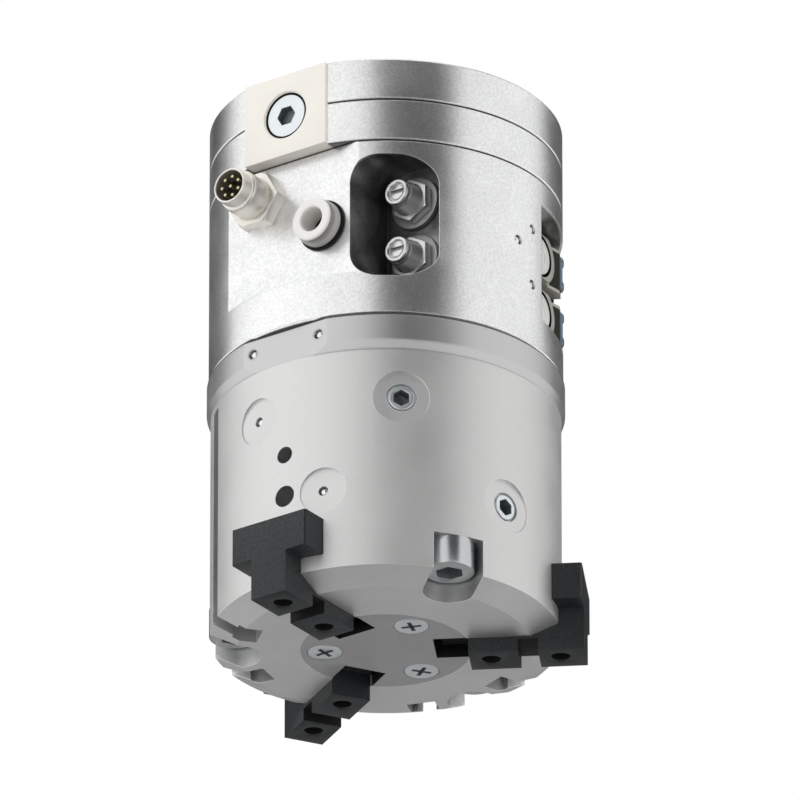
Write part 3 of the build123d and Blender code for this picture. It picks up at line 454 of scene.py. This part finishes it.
def finish_for(name, colour, metal, rough, grain=900, grain_height=0.00002, mottle=0.05, speckle=0.0,
               speckle_scale=2600, edge=0.0, edge_light=0.25, lines=0.0, shine=0.5, faced=0.0,
               recess=None, recess_colour=None, recess_mottle=0.0, deep=(30, 52, 1.0), seams=()):
    """A finish with mottled colour, uneven gloss, fine grain, a painted highlight on the edges, and painted
    shade in pockets and seams.

    Lengths are millimetres, apart from the heights of grain and lines, which are metres. Deep is two
    distances from the axis and a level: the painted shade of a pocket is scaled by it at the first and
    whole at the second. A seam is a height, half a width and a level, to which the seam is darkened as
    painted shade. Faced is the roughness of faces that point up.
    """
    made = bpy.data.materials.new(name)
    made.use_nodes = True
    nodes = made.node_tree.nodes
    links = made.node_tree.links
    shader = nodes["Principled BSDF"]
    shader.inputs["Metallic"].default_value = metal
    shader.inputs["Specular IOR Level"].default_value = shine
    place = nodes.new("ShaderNodeTexCoord").outputs["Object"]

    cloud = noise(nodes, links, place, cloud_scale, cloud_detail)
    darker = [part * (1 - mottle) for part in colour]
    lighter = [min(1, part * (1 + mottle)) for part in colour]
    colour_out = colour_run(nodes, links, cloud, cloud_span, darker, lighter)
    # Pocket walls take a darker colour: painted shade, which grows deeper towards the axis where deep says
    # so.
    if recess:
        darkest_pocket_shade = [part * (1 - recess_mottle) for part in recess_colour]
        inner = colour_run(nodes, links, cloud, pocket_shade_span, darkest_pocket_shade, recess_colour)
        near, far, level = deep
        reach = axis_distance(nodes, links, place)
        deeper_pocket_shade = between(nodes, links, reach, near * mm, far * mm, level, 1.0)
        inner = multiplied(nodes, links, inner, deeper_pocket_shade)
        colour_out = mixed(nodes, links, recess(nodes, links, place), colour_out, inner, "RGBA")
    # Each seam is a dark band painted along a joint: painted shade of the narrow gap between two parts.
    for seam, half, level in seams:
        away = maths(nodes, links, "SUBTRACT", parts_of(nodes, links, place)["Z"], seam * mm)
        away = maths(nodes, links, "ABSOLUTE", away)
        seam_shade = between(nodes, links, away, half * seam_core * mm, half * mm, level, 1.0)
        colour_out = multiplied(nodes, links, colour_out, seam_shade)
    if speckle > 0:
        dots = noise(nodes, links, place, speckle_scale, speckle_detail)
        spread = between(nodes, links, dots, *speckle_span, 1 - speckle, 1 + speckle)
        colour_out = multiplied(nodes, links, colour_out, spread)

    soft = None
    # Edges are painted lighter: a painted highlight, which also stands for metal rubbed bright there.
    if edge > 0:
        bevel = nodes.new("ShaderNodeBevel")
        bevel.samples = edge_samples
        bevel.inputs["Radius"].default_value = edge * mm
        soft = bevel.outputs["Normal"]
        flat = nodes.new("ShaderNodeNewGeometry").outputs["Normal"]
        match = vector_maths(nodes, links, "DOT_PRODUCT", soft, flat, gives="Value")
        wear_and_highlight = between(nodes, links, match, *wear_and_highlight_span, 1 + edge_light, 1.0)
        colour_out = multiplied(nodes, links, colour_out, wear_and_highlight)
    grit = noise(nodes, links, place, grain, grain_detail)
    normal_out = relief(nodes, links, grit, grain_height, soft)
    if lines > 0:
        stretched = vector_maths(nodes, links, "MULTIPLY", place, line_stretch)
        marks = noise(nodes, links, stretched, line_scale, grain_detail)
        normal_out = relief(nodes, links, marks, lines, normal_out)

    gloss = between(nodes, links, cloud, 0.0, 1.0, rough - gloss_spread, rough + gloss_spread)
    if faced > 0:
        slope = parts_of(nodes, links, true_normal(nodes))["Z"]
        upward = maths(nodes, links, "GREATER_THAN", slope, upward_limit)
        gloss = mixed(nodes, links, upward, gloss, faced)
    links.new(colour_out, shader.inputs["Base Color"])
    links.new(gloss, shader.inputs["Roughness"])
    links.new(normal_out, shader.inputs["Normal"])
    finishes[name] = made


# %% [markdown]
# The rings and the valve module are turned and blasted bright, the gripper housing is anodised, and the
# jaws are blackened steel. The small parts are plated steel or plastics. Each row gives the
# colour, how metallic it is and how rough, and then what is special about it.

# %% The finishes of this gripper
# The seams in these rows are painted shade in the joints between the rings, and between the valve module and
# the cover below it.
finish_for("turned_aluminium", (0.86, 0.865, 0.87), 1.0, 0.31, grain=700, grain_height=0.00004, speckle=0.09,
           speckle_scale=1300, edge=0.25, lines=0.000003, faced=0.62, recess=module_recess,
           recess_colour=(0.55, 0.55, 0.545), recess_mottle=0.72, deep=(36, 52, 0.16),
           seams=((-14.4, 0.34, 0.12), (-28.85, 0.34, 0.12)))
finish_for("anodised_aluminium", (0.735, 0.73, 0.725), 1.0, 0.52, mottle=0.02, speckle=0.03, edge=0.25,
           edge_light=0.45, lines=0.000003, recess=housing_recess, recess_colour=(0.65, 0.65, 0.65),
           recess_mottle=0.22)
finish_for("collar_aluminium", (0.60, 0.60, 0.597), 1.0, 0.40, mottle=0.02, edge=1.2, edge_light=0.0,
           lines=0.000005, seams=((-90.2, 0.75, 0.12),))
finish_for("cover_steel", (0.375, 0.375, 0.375), 0.3, 0.45, mottle=0.03, edge=0.2)
finish_for("jaw_steel", (0.017, 0.020, 0.022), 0.15, 0.46, mottle=0.15, speckle=0.42, speckle_scale=1900,
           edge=0.18, edge_light=1.6, shine=0.45)
finish_for("clamp_cream", (0.88, 0.85, 0.78), 0.0, 0.45, mottle=0.01, speckle=0.01)
finish_for("zinc_screw", (0.76, 0.80, 0.82), 0.85, 0.34, mottle=0.03, speckle=0.03)
finish_for("bright_screw", (0.57, 0.59, 0.60), 1.0, 0.26, mottle=0.02)
finish_for("nickel", (0.80, 0.775, 0.72), 0.9, 0.36, mottle=0.04, edge=0.1)
finish_for("contact_gold", (0.62, 0.55, 0.36), 1.0, 0.36)
finish_for("black_plastic", (0.012, 0.011, 0.006), 0.0, 0.5, speckle=0.3, shine=0.15)
finish_for("coil_plastic", (0.016, 0.017, 0.011), 0.0, 0.5, speckle=0.4, shine=0.15)
finish_for("white_plastic", (0.84, 0.83, 0.80), 0.0, 0.40, mottle=0.01)
finish_for("grey_plastic", (0.42, 0.41, 0.39), 0.0, 0.40, mottle=0.02)
finish_for("beige_plastic", (0.44, 0.43, 0.375), 0.0, 0.42, mottle=0.03)
finish_for("blue_plastic", (0.24, 0.33, 0.40), 0.0, 0.45)
finish_for("groove_shade", (0.010, 0.010, 0.010), 0.0, 0.6, speckle=0.2, shine=0.2)
finish_for("board", (0.02, 0.16, 0.07), 0.0, 0.4)
finish_for("seal_rubber", (0.008, 0.008, 0.008), 0.0, 0.55, shine=0.15)
finish_for("bearing_plastic", (0.12, 0.09, 0.06), 0.0, 0.5)
finish_for("ball_steel", (0.85, 0.85, 0.86), 1.0, 0.12)
finish_for("hard_steel", (0.40, 0.40, 0.41), 1.0, 0.30)
finish_for("throttle_steel", (0.70, 0.70, 0.70), 0.95, 0.30, mottle=0.08, edge=0.15)
finish_for("washer_steel", (0.34, 0.34, 0.34), 0.8, 0.40, mottle=0.06, edge=0.25, edge_light=0.8)
finish_for("thread_steel", (0.24, 0.24, 0.24), 0.85, 0.30, mottle=0.15, edge=0.1, edge_light=0.8)
finish_for("socket_shade", (0.15, 0.175, 0.178), 0.4, 0.42, mottle=0.15, speckle=0.35)

slot_of = {part["node"]: part["material_slot"] for part in frame["record"]["subparts"]}
body_of = {node: body for body, nodes in frame["record"]["behaviour"]["bodies"].items() for node in nodes}
for name, node in frame["nodes"].items():
    node.data.materials.clear()
    node.data.materials.append(finishes[slot_of[name]])
print("finishes:", len(finishes))

# %% [markdown]
# Most small parts of the gripper come off a lathe or start as bar stock. Each is made the way it is machined.
# A circle is drawn out and widened ring by ring for a turned part, a hexagon or a block is cut where
# a tool cuts it, and last the sharp edges are rounded, by less than half a millimetre. The solids
# leave that rounding out, and it is what catches the light. A part is made along the upright axis
# first, because sizes are easy to read there, and then it is stood in its place.

# %% Helpers for turned and milled parts


def take(piece):
    """Selects one piece and nothing else."""
    bpy.ops.object.select_all(action="DESELECT")
    piece.select_set(True)
    bpy.context.view_layer.objects.active = piece
    return piece


def named(name):
    """Names the primitive that was just added and puts its origin at the axis."""
    piece = bpy.context.object
    piece.name = name
    bpy.ops.object.transform_apply(location=True, rotation=True, scale=True)
    return piece


def turned_part(name, rings, sides=96):
    """A lathe part: each ring is a distance along the axis and a radius, in millimetres."""
    bpy.ops.object.select_all(action="DESELECT")
    along, radius = rings[0]
    bpy.ops.mesh.primitive_circle_add(vertices=sides, radius=radius * mm, location=(0, 0, along * mm))
    piece = named(name)
    bpy.ops.object.mode_set(mode="EDIT")
    bpy.ops.mesh.select_all(action="SELECT")
    for next_along, next_radius in rings[1:]:
        step = (0, 0, (next_along - along) * mm)
        bpy.ops.mesh.extrude_region_move(TRANSFORM_OT_translate={"value": step})
        widen = next_radius / radius
        bpy.ops.transform.resize(value=(widen, widen, 1), center_override=(0, 0, 0))
        along, radius = next_along, next_radius
    bpy.ops.mesh.select_all(action="SELECT")
    bpy.ops.mesh.remove_doubles(threshold=0.000001)
    bpy.ops.mesh.fill_holes(sides=0)
    bpy.ops.mesh.select_all(action="SELECT")
    bpy.ops.mesh.normals_make_consistent(inside=False)
    bpy.ops.object.mode_set(mode="OBJECT")
    return piece


def hexagon_bar(name, flats, start, end, turn=0):
    """A hexagonal bar of this width across flats, from one distance along the axis to another."""
    bpy.ops.object.select_all(action="DESELECT")
    bpy.ops.mesh.primitive_cylinder_add(vertices=6, radius=flats / math.sqrt(3) * mm,
                                        depth=(end - start) * mm, location=(0, 0, (start + end) / 2 * mm),
                                        rotation=(0, 0, math.radians(30 + turn)))
    return named(name)


def milled_block(name, low, high):
    """A block between two corners, in millimetres."""
    bpy.ops.object.select_all(action="DESELECT")
    bpy.ops.mesh.primitive_cube_add(size=1, location=[(a + b) / 2 * mm for a, b in zip(low, high)],
                                    scale=[(b - a) * mm for a, b in zip(low, high)])
    return named(name)


def painted(piece, finish):
    """Gives a piece its finish before anything is cut out of it."""
    piece.data.materials.clear()
    piece.data.materials.append(finishes[finish])
    return piece


def combine(piece, tool, kind="DIFFERENCE", shade=None):
    """Cuts the piece with a tool, or keeps what they share. The cut can have a shade of its own."""
    if shade:
        painted(tool, shade)
    take(piece)
    bpy.ops.object.modifier_add(type="BOOLEAN")
    step = piece.modifiers[-1]
    step.object = tool
    step.operation = kind
    step.solver = "EXACT"
    step.material_mode = "TRANSFER" if shade else "INDEX"
    bpy.ops.object.modifier_apply(modifier=step.name)
    bpy.data.objects.remove(tool)
    return piece


def rounded(piece, width, segments=3, angle=30):
    """Rounds the edges that are sharper than the angle, and shades what is smooth."""
    take(piece)
    bpy.ops.object.modifier_add(type="BEVEL")
    step = piece.modifiers[-1]
    step.width = width * mm
    step.segments = segments
    step.limit_method = "ANGLE"
    step.angle_limit = math.radians(angle)
    bpy.ops.object.modifier_apply(modifier=step.name)
    bpy.ops.object.shade_smooth_by_angle(angle=math.radians(40))
    return piece


def stood(piece, at, facing=None):
    """Stands a part in its place, lying down and facing outwards at this angle where one is given."""
    take(piece)
    if facing is not None:
        piece.rotation_euler = (math.radians(90), 0, math.radians(facing + 90))
    piece.location = [value * mm for value in at]
    bpy.ops.object.transform_apply(location=True, rotation=True, scale=True)
    return piece


def swung(piece, turn, out=0.0):
    """Moves a piece out from the upright axis and swings it round that axis."""
    take(piece)
    piece.location = (out * mm, 0, 0)
    bpy.ops.object.transform_apply(location=True, rotation=False, scale=False)
    piece.rotation_euler = (0, 0, math.radians(turn))
    bpy.ops.object.transform_apply(location=False, rotation=True, scale=False)
    return piece


def on_circle(radius, angle):
    """The place on a circle round the upright axis."""
    return radius * math.cos(math.radians(angle)), radius * math.sin(math.radians(angle)), 0


def joined(piece, *others):
    """Makes several meshes one piece."""
    take(piece)
    for other in others:
        other.select_set(True)
    bpy.ops.object.join()
    return piece


def copy_of(piece, name):
    """A copy with its own mesh."""
    twin = bpy.data.objects.new(name, piece.data.copy())
    scene.collection.objects.link(twin)
    return twin


def fitted(piece, *nodes):
    """Hands a finished part its finish and its body, and lets it stand for its solids."""
    slot = slot_of[nodes[0]]
    if not piece.data.materials:
        painted(piece, slot)
    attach(piece, body_of[nodes[0]])
    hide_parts(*nodes)
    low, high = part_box(nodes[0])
    points = [vertex.co for vertex in piece.data.vertices]
    past = max(max(low[k] - min(p[k] for p in points), max(p[k] for p in points) - high[k]) for k in range(3))
    faces = len(piece.data.polygons)
    print(piece.name, "has", faces, "faces, and stands", round(past / mm, 2), "mm past its solid")


# %% [markdown]
# The round signal connector is a nickelled tube with a sleeve behind its mouth and a hexagon against the
# flat. The sleeve ends in a soft shoulder, so its rings step round that corner instead of leaving it
# sharp. A small key stands inside the mouth.

# %% Signal connector
connector_side = -90
connector_at = (-13.1, 0, -40.5)
shell = turned_part("connector_tube", [
    (38.4, 6.4), (54.9, 6.4), (54.9, 7.0), (61.9, 7.0), (62.5, 6.93), (62.95, 6.65), (63.2, 6.2), (63.2, 6.0),
    (66.95, 6.0), (67.3, 5.9), (67.4, 5.7), (67.4, 5.35), (67.2, 5.2), (38.4, 5.2), (38.4, 6.4)])
mouth_radius = 5.2
key = swung(turned_part("connector_key", [(61.4, 0.8), (66.3, 0.8), (66.6, 0.5)], sides=24), 0, mouth_radius)
shell = rounded(joined(shell, key), 0.12, 2)
fitted(stood(shell, connector_at, connector_side), "connector_shell")

nut = hexagon_bar("connector_hexagon", 17.0, 50.4, 54.9)
turning = turned_part("nut_turning", [(50.3, 17.6), (50.4, 17.4), (54.9, 9.115), (55.0, 8.9)])
nut = combine(nut, turning, "INTERSECT")
nut = combine(nut, turned_part("nut_bore", [(49.0, 6.42), (56.0, 6.42)]))
fitted(stood(rounded(nut, 0.15, 2, 20), connector_at, connector_side), "connector_nut")

# %% [markdown]
# The push-in air fitting is three rings on one axis: a rubber seal on the flat, a grey body, and a white
# collar that is pushed in to let the hose go. The body and the collar are mouldings with full lips,
# so their outlines already go round the corner before the edges are rounded.

# %% Air fitting
fitting_at = (11.4, 0, -55.2)
seal = turned_part("fitting_rubber", [
    (50.4, 6.52), (50.4, 8.3), (50.55, 8.5), (51.25, 8.5), (51.4, 8.3), (51.4, 6.52), (50.4, 6.52)])
fitted(stood(rounded(seal, 0.1, 2), fitting_at, connector_side), "air_fitting_seal")
fitting = turned_part("fitting_grey_body", [
    (40.4, 6.5), (51.4, 6.5), (51.4, 7.75), (53.8, 7.75), (54.1, 7.65), (54.2, 7.4), (54.2, 5.25),
    (45.6, 5.25), (45.6, 3.05), (40.4, 3.05), (40.4, 6.5)])
fitted(stood(rounded(fitting, 0.2), fitting_at, connector_side), "air_fitting_body")
collar = turned_part("white_collar", [
    (49.2, 5.2), (56.0, 5.2), (56.0, 7.0), (56.12, 7.2), (56.4, 7.25), (56.7, 7.2), (56.93, 7.0), (57.0, 6.7),
    (57.0, 4.75), (56.9, 4.4), (56.6, 4.15), (56.2, 4.05), (49.2, 4.05), (49.2, 5.2)])
fitted(stood(rounded(collar, 0.12), fitting_at, connector_side), "release_collar")

# %% [markdown]
# Each throttle valve in the pocket is a flange washer, a hexagon with turned-off corners, a threaded barrel,
# and a dished adjusting screw with a driver slot. The thread shows only as fine dark lines,
# so plain rings a half millimetre apart stand for it. A real helix would not be seen at this size.

# %% Throttle valves
throttle_across = 33.4
throttle_heights = (-45.75, -65.95)
thread_start = 34.5
thread_pitch = 0.52
thread_radius = 5.45
thread_depth = 0.4
thread_taper = 0.1
flange = turned_part("throttle_washer", [(29.8, 5.02), (29.8, 8.8), (31.3, 8.8), (31.3, 5.02), (29.8, 5.02)])
flange = rounded(painted(flange, "washer_steel"), 0.3)
hexagon = painted(hexagon_bar("throttle_hexagon", 12.6, 31.3, 34.3, 30), "throttle_steel")
turning = turned_part("hexagon_turning", [(31.2, 12.9), (31.3, 12.77), (34.3, 6.774), (34.4, 6.5)])
hexagon = combine(hexagon, turning, "INTERSECT")
hexagon = combine(hexagon, turned_part("hexagon_bore", [(30.0, 2.55), (36.0, 2.55)]))
hexagon = rounded(hexagon, 0.15, 2, 20)
thread = []
for groove in range(9):
    along = thread_start + thread_pitch * groove
    crest = thread_radius - thread_taper * groove
    root = crest - thread_depth
    thread += [(along, crest), (along + 0.12, root), (along + 0.28, root), (along + 0.4, crest - 0.08)]
barrel = turned_part("throttle_barrel", [(20.8, 4.7), (21.2, 5.0), (34.2, 5.0), (34.3, 5.5)] + thread + [
    (39.3, 4.5), (39.7, 4.3), (39.7, 2.55), (20.8, 2.55), (20.8, 4.7)])
barrel = rounded(painted(barrel, "thread_steel"), 0.02, 1)
throttle = joined(barrel, hexagon)
adjuster = turned_part("slotted_adjuster", [
    (28.7, 2.2), (29.0, 2.5), (40.0, 2.5), (40.0, 4.1), (40.15, 4.25), (41.35, 4.25), (41.6, 4.0),
    (41.6, 3.35), (41.3, 3.05), (40.6, 2.95), (40.6, 2.65), (41.2, 2.55), (41.3, 2.35)])
adjuster = painted(adjuster, "throttle_steel")
slot_tool = milled_block("driver_slot", (-2.6, -0.7, 40.6), (2.6, 0.7, 42))
# The walls of the driver slot are painted a darker steel: painted shade inside the slot.
adjuster = rounded(combine(adjuster, slot_tool, shade="thread_steel"), 0.1, 2)
throttle_parts = ((flange, "throttle_washer", "throttle_flange"),
                  (throttle, "throttle_barrel", "throttle_body"),
                  (adjuster, "slotted_adjuster", "adjusting_screw"))
for number, height in enumerate(throttle_heights, start=1):
    at = (throttle_across, 0, height)
    for start, name, node in throttle_parts:
        fitted(stood(copy_of(start, f"{name}_{number}"), at, connector_side), f"{node}_{number}")
for start, name, node in throttle_parts:
    bpy.data.objects.remove(start)

# %% [markdown]
# The clamp plate that locks the two upper rings is a pale block with a countersunk hole, and its screw
# sits a little below the face, so the hole shows as a dark ring round the head. The countersink's wall is
# painted near-black as painted shade.

# %% Clamp plate and screw
clamp_at = (0, 0, -14.425)
plate = milled_block("clamp_block", (-15.7, -55.3, -28.55), (15.7, -50.42, -0.3))
sink = turned_part("countersink", [(39.0, 4.02), (50.84, 4.02), (54.6, 7.78), (54.7, 7.85)])
mouth = turned_part("countersink_mouth", [(54.65, 7.8), (55.3, 8.3), (56.0, 8.9)])
plate = painted(plate, "clamp_cream")
# The countersink's wall is painted near-black: painted shade round the screw head.
plate = combine(plate, stood(sink, clamp_at, connector_side), shade="seal_rubber")
plate = combine(plate, stood(mouth, clamp_at, connector_side))
fitted(rounded(plate, 0.45, 3), "clamp_plate")
screw = turned_part("countersunk_screw", [
    (39.6, 3.4), (40.2, 4.0), (50.85, 4.0), (53.9, 7.05), (54.4, 7.2), (54.6, 7.05)])
socket = hexagon_bar("screw_socket", 6.0, 51.6, 55.0)
screw = combine(painted(screw, "zinc_screw"), socket, shade="socket_shade")
fitted(stood(rounded(screw, 0.12, 2), clamp_at, connector_side), "clamp_screw")

# %% [markdown]
# Two port plugs close the air ports in the wall of the gripper housing. Each is a short set screw
# with a hexagon socket and a narrow rim.

# %% Port plugs
port_places = ((-49.4, -119.0), (-11.1, -150.1))
plug = turned_part("port_set_screw", [
    (46.89, 4.4), (47.3, 4.88), (53.9, 4.88), (53.9, 4.25), (54.6, 4.15), (54.89, 3.9)])
socket = hexagon_bar("plug_socket", 5.0, 50.9, 56.0, 30)
plug = combine(painted(plug, "zinc_screw"), socket, shade="socket_shade")
plug = rounded(plug, 0.1, 2)
for number, (angle, height) in enumerate(port_places, start=1):
    fitted(stood(copy_of(plug, f"port_set_screw_{number}"), (0, 0, height), angle), "port_plugs")
bpy.data.objects.remove(plug)

# %% [markdown]
# The long socket screws hang head down in their pockets. The head is a turned cylinder with a rounded rim,
# and its socket is a deep hexagon with a drilled point behind it.

# %% Long mounting screws
screw_turns = (-30, 90, 210)
mount_circle = 48.2
long_screw = turned_part("long_socket_screw", [
    (-175.0, 7.45), (-174.75, 7.85), (-174.45, 8.0), (-165.2, 8.0), (-165.0, 7.8), (-165.0, 5.0),
    (-78.6, 5.0), (-78.0, 4.4)])
long_screw = painted(long_screw, "bright_screw")
long_screw = combine(long_screw, hexagon_bar("long_socket", 8.0, -176.0, -170.0), shade="socket_shade")
point = turned_part("socket_point", [(-171.0, 3.9), (-169.9, 3.8), (-168.4, 0.2)], 48)
long_screw = rounded(combine(long_screw, point, shade="socket_shade"), 0.12, 2)
for number, angle in enumerate(screw_turns, start=1):
    one = copy_of(long_screw, f"long_socket_screw_{number}")
    fitted(stood(one, on_circle(mount_circle, angle)), "mounting_screws")
bpy.data.objects.remove(long_screw)

# %% [markdown]
# Three countersunk screws hold the centre cover. Their cross recesses stand at different angles, as
# screws do that nobody has lined up. The recess is cut with two narrow bars that cross in the middle.

# %% Cross-recess screws
cover_screw_circle = 19.4
recess_turns = (20, 55, 90)
cross_screw = turned_part("cross_screw", [
    (-181.3, 5.15), (-181.2, 5.38), (-180.8, 5.45), (-178.35, 3.0), (-167.7, 3.0), (-167.3, 2.6)])
cross_screw = painted(cross_screw, "zinc_screw")
for turn in (0, 90):
    arm = swung(milled_block("recess_arm", (-3.2, -0.65, -182.0), (3.2, 0.65, -179.7)), turn)
    cross_screw = combine(cross_screw, arm, shade="socket_shade")
cross_screw = rounded(cross_screw, 0.06, 2)
for number, (angle, turn) in enumerate(zip(screw_turns, recess_turns), start=1):
    one = swung(copy_of(cross_screw, f"cross_screw_{number}"), turn)
    fitted(stood(one, on_circle(cover_screw_circle, angle)), "centre_cover_screws")
bpy.data.objects.remove(cross_screw)

# %% [markdown]
# The two pilot valves look out of their bay with round caps, each in a beige frame. A cap is a shallow
# turned dish with one fine groove and a sunk middle. The small slotted screws hold the cover strips.

# %% Valve caps and their screws
valve_heights = (-46.5, -66.2)
valve_at = (45.651, 20.930)
valve_turn = 7.5
strip_screw_at = (42.764, 36.930)
strip_screw_turn = 30
strip_screw_offset = 4.15
cap = turned_part("valve_dish", [
    (-2.98, 6.1), (-2.8, 6.4), (-0.5, 6.4), (-0.15, 6.25), (0.0, 5.95), (0.0, 5.3), (-0.25, 5.2),
    (-0.25, 4.5), (-0.05, 4.4), (-0.05, 3.2), (-0.3, 3.1), (-0.3, 1.0)])
cap = rounded(cap, 0.08, 2)
for number, height in enumerate(valve_heights, start=1):
    one = copy_of(cap, f"valve_dish_{number}")
    fitted(stood(one, (*valve_at, height), valve_turn), f"valve_cap_{number}")
bpy.data.objects.remove(cap)
small_screw = turned_part("strip_screw", [
    (-7.0, 0.8), (-6.7, 1.0), (0.0, 1.0), (0.0, 1.6), (0.25, 1.5), (0.42, 1.15), (0.5, 0.7)], 48)
painted(small_screw, "thread_steel")
small_screw = combine(small_screw, milled_block("screw_slot", (-1.7, -0.18, 0.25), (1.7, 0.18, 1.0)))
small_screw = rounded(small_screw, 0.05, 2)
strip_screw_heights = [height + side * strip_screw_offset for height in valve_heights for side in (-1, 1)]
for number, height in enumerate(strip_screw_heights, start=1):
    one = copy_of(small_screw, f"strip_screw_{number}")
    fitted(stood(one, (*strip_screw_at, height), strip_screw_turn), "valve_cover_screws")
bpy.data.objects.remove(small_screw)

# %% [markdown]
# The jaws, the centre cover and the valve coils already have their right shape as solids, but a milled or
# moulded edge is never knife sharp. A copy of each solid's mesh has its loose triangles merged and its
# flat faces made whole, and then its edges are rounded. The grooves and thread mouths of the jaws and
# the slots of the cover are cut with a dark shade, because hardly any light reaches their walls.

# %% Soft edges for the milled and moulded bodies
jaw_turns = (-90, 30, 150)
thread_places = (33.5, 55.5)


def solid_copy(node, name, finish):
    """A painted copy of a solid, with its loose triangles merged and its flat faces whole."""
    piece = take(copy_of(frame["nodes"][node], name))
    bpy.ops.mesh.customdata_custom_splitnormals_clear()
    bpy.ops.object.mode_set(mode="EDIT")
    bpy.ops.mesh.select_all(action="SELECT")
    bpy.ops.mesh.remove_doubles(threshold=0.000002)
    bpy.ops.mesh.dissolve_limited(angle_limit=math.radians(0.5))
    bpy.ops.object.mode_set(mode="OBJECT")
    return painted(piece, finish)


def softened(node, name, width, segments=2, finish=None, grooves=()):
    """A copy of a solid with rounded edges and a dark shade in its grooves."""
    piece = solid_copy(node, name, finish or slot_of[node])
    for tool in grooves:
        piece = combine(piece, tool, shade="groove_shade")
    fitted(rounded(piece, width, segments), node)


for number, turn in enumerate(jaw_turns, start=1):
    tools = [swung(milled_block("pad_groove", (42.45, -7.5, -187.5), (48.75, 7.5, -182.15)), turn)]
    for out in thread_places:
        tools.append(swung(turned_part("thread_mouth", [(-187.0, 3.0), (-183.5, 3.0)], 64), turn, out))
    softened(f"jaw_{number}", f"milled_jaw_{number}", 0.35, 3, grooves=tools)
slots = []
for turn in jaw_turns:
    slots.append(swung(milled_block("cover_slot", (15.55, -7.03, -182.5), (30.0, 7.03, -176.0)), turn))
softened("centre_cover", "ground_centre_cover", 0.25, grooves=slots)
for number in (1, 2):
    softened(f"valve_coil_{number}", f"coil_moulding_{number}", 0.3, finish="coil_plastic")
    softened(f"valve_cover_{number}", f"cover_strip_{number}", 0.15)

# %% [markdown]
# The beige valve body holds the black coil between two thin cheeks, and its cap stands in a deep groove
# whose walls are painted near-black as painted shade. The cheeks are copies of the coil's own outline,
# pressed flat and moved above and below it, so they follow its slanted plan without drawing it again.

# %% Valve bodies with cheeks and grooves
coil_height = 13
cheek_thickness = 1.06
cheek_offset = 7.05
for number, height in enumerate(valve_heights, start=1):
    body = solid_copy(f"valve_block_{number}", f"valve_frame_{number}", "beige_plastic")
    ditch = turned_part("cap_groove", [(-4.0, 6.42), (-4.0, 7.35), (1.0, 7.35), (1.0, 6.42), (-4.0, 6.42)])
    # The groove's walls are painted near-black: painted shade.
    body = combine(body, stood(ditch, (*valve_at, height), valve_turn), shade="seal_rubber")
    for side in (-1, 1):
        cheek = take(solid_copy(f"valve_coil_{number}", "cheek", "beige_plastic"))
        flat = (1, 1, cheek_thickness / coil_height)
        bpy.ops.object.mode_set(mode="EDIT")
        bpy.ops.mesh.select_all(action="SELECT")
        bpy.ops.transform.resize(value=flat, center_override=(0, 0, height * mm))
        bpy.ops.transform.translate(value=(0, 0, side * cheek_offset * mm))
        bpy.ops.object.mode_set(mode="OBJECT")
        body = joined(body, cheek)
    fitted(rounded(body, 0.2, 2), f"valve_block_{number}")
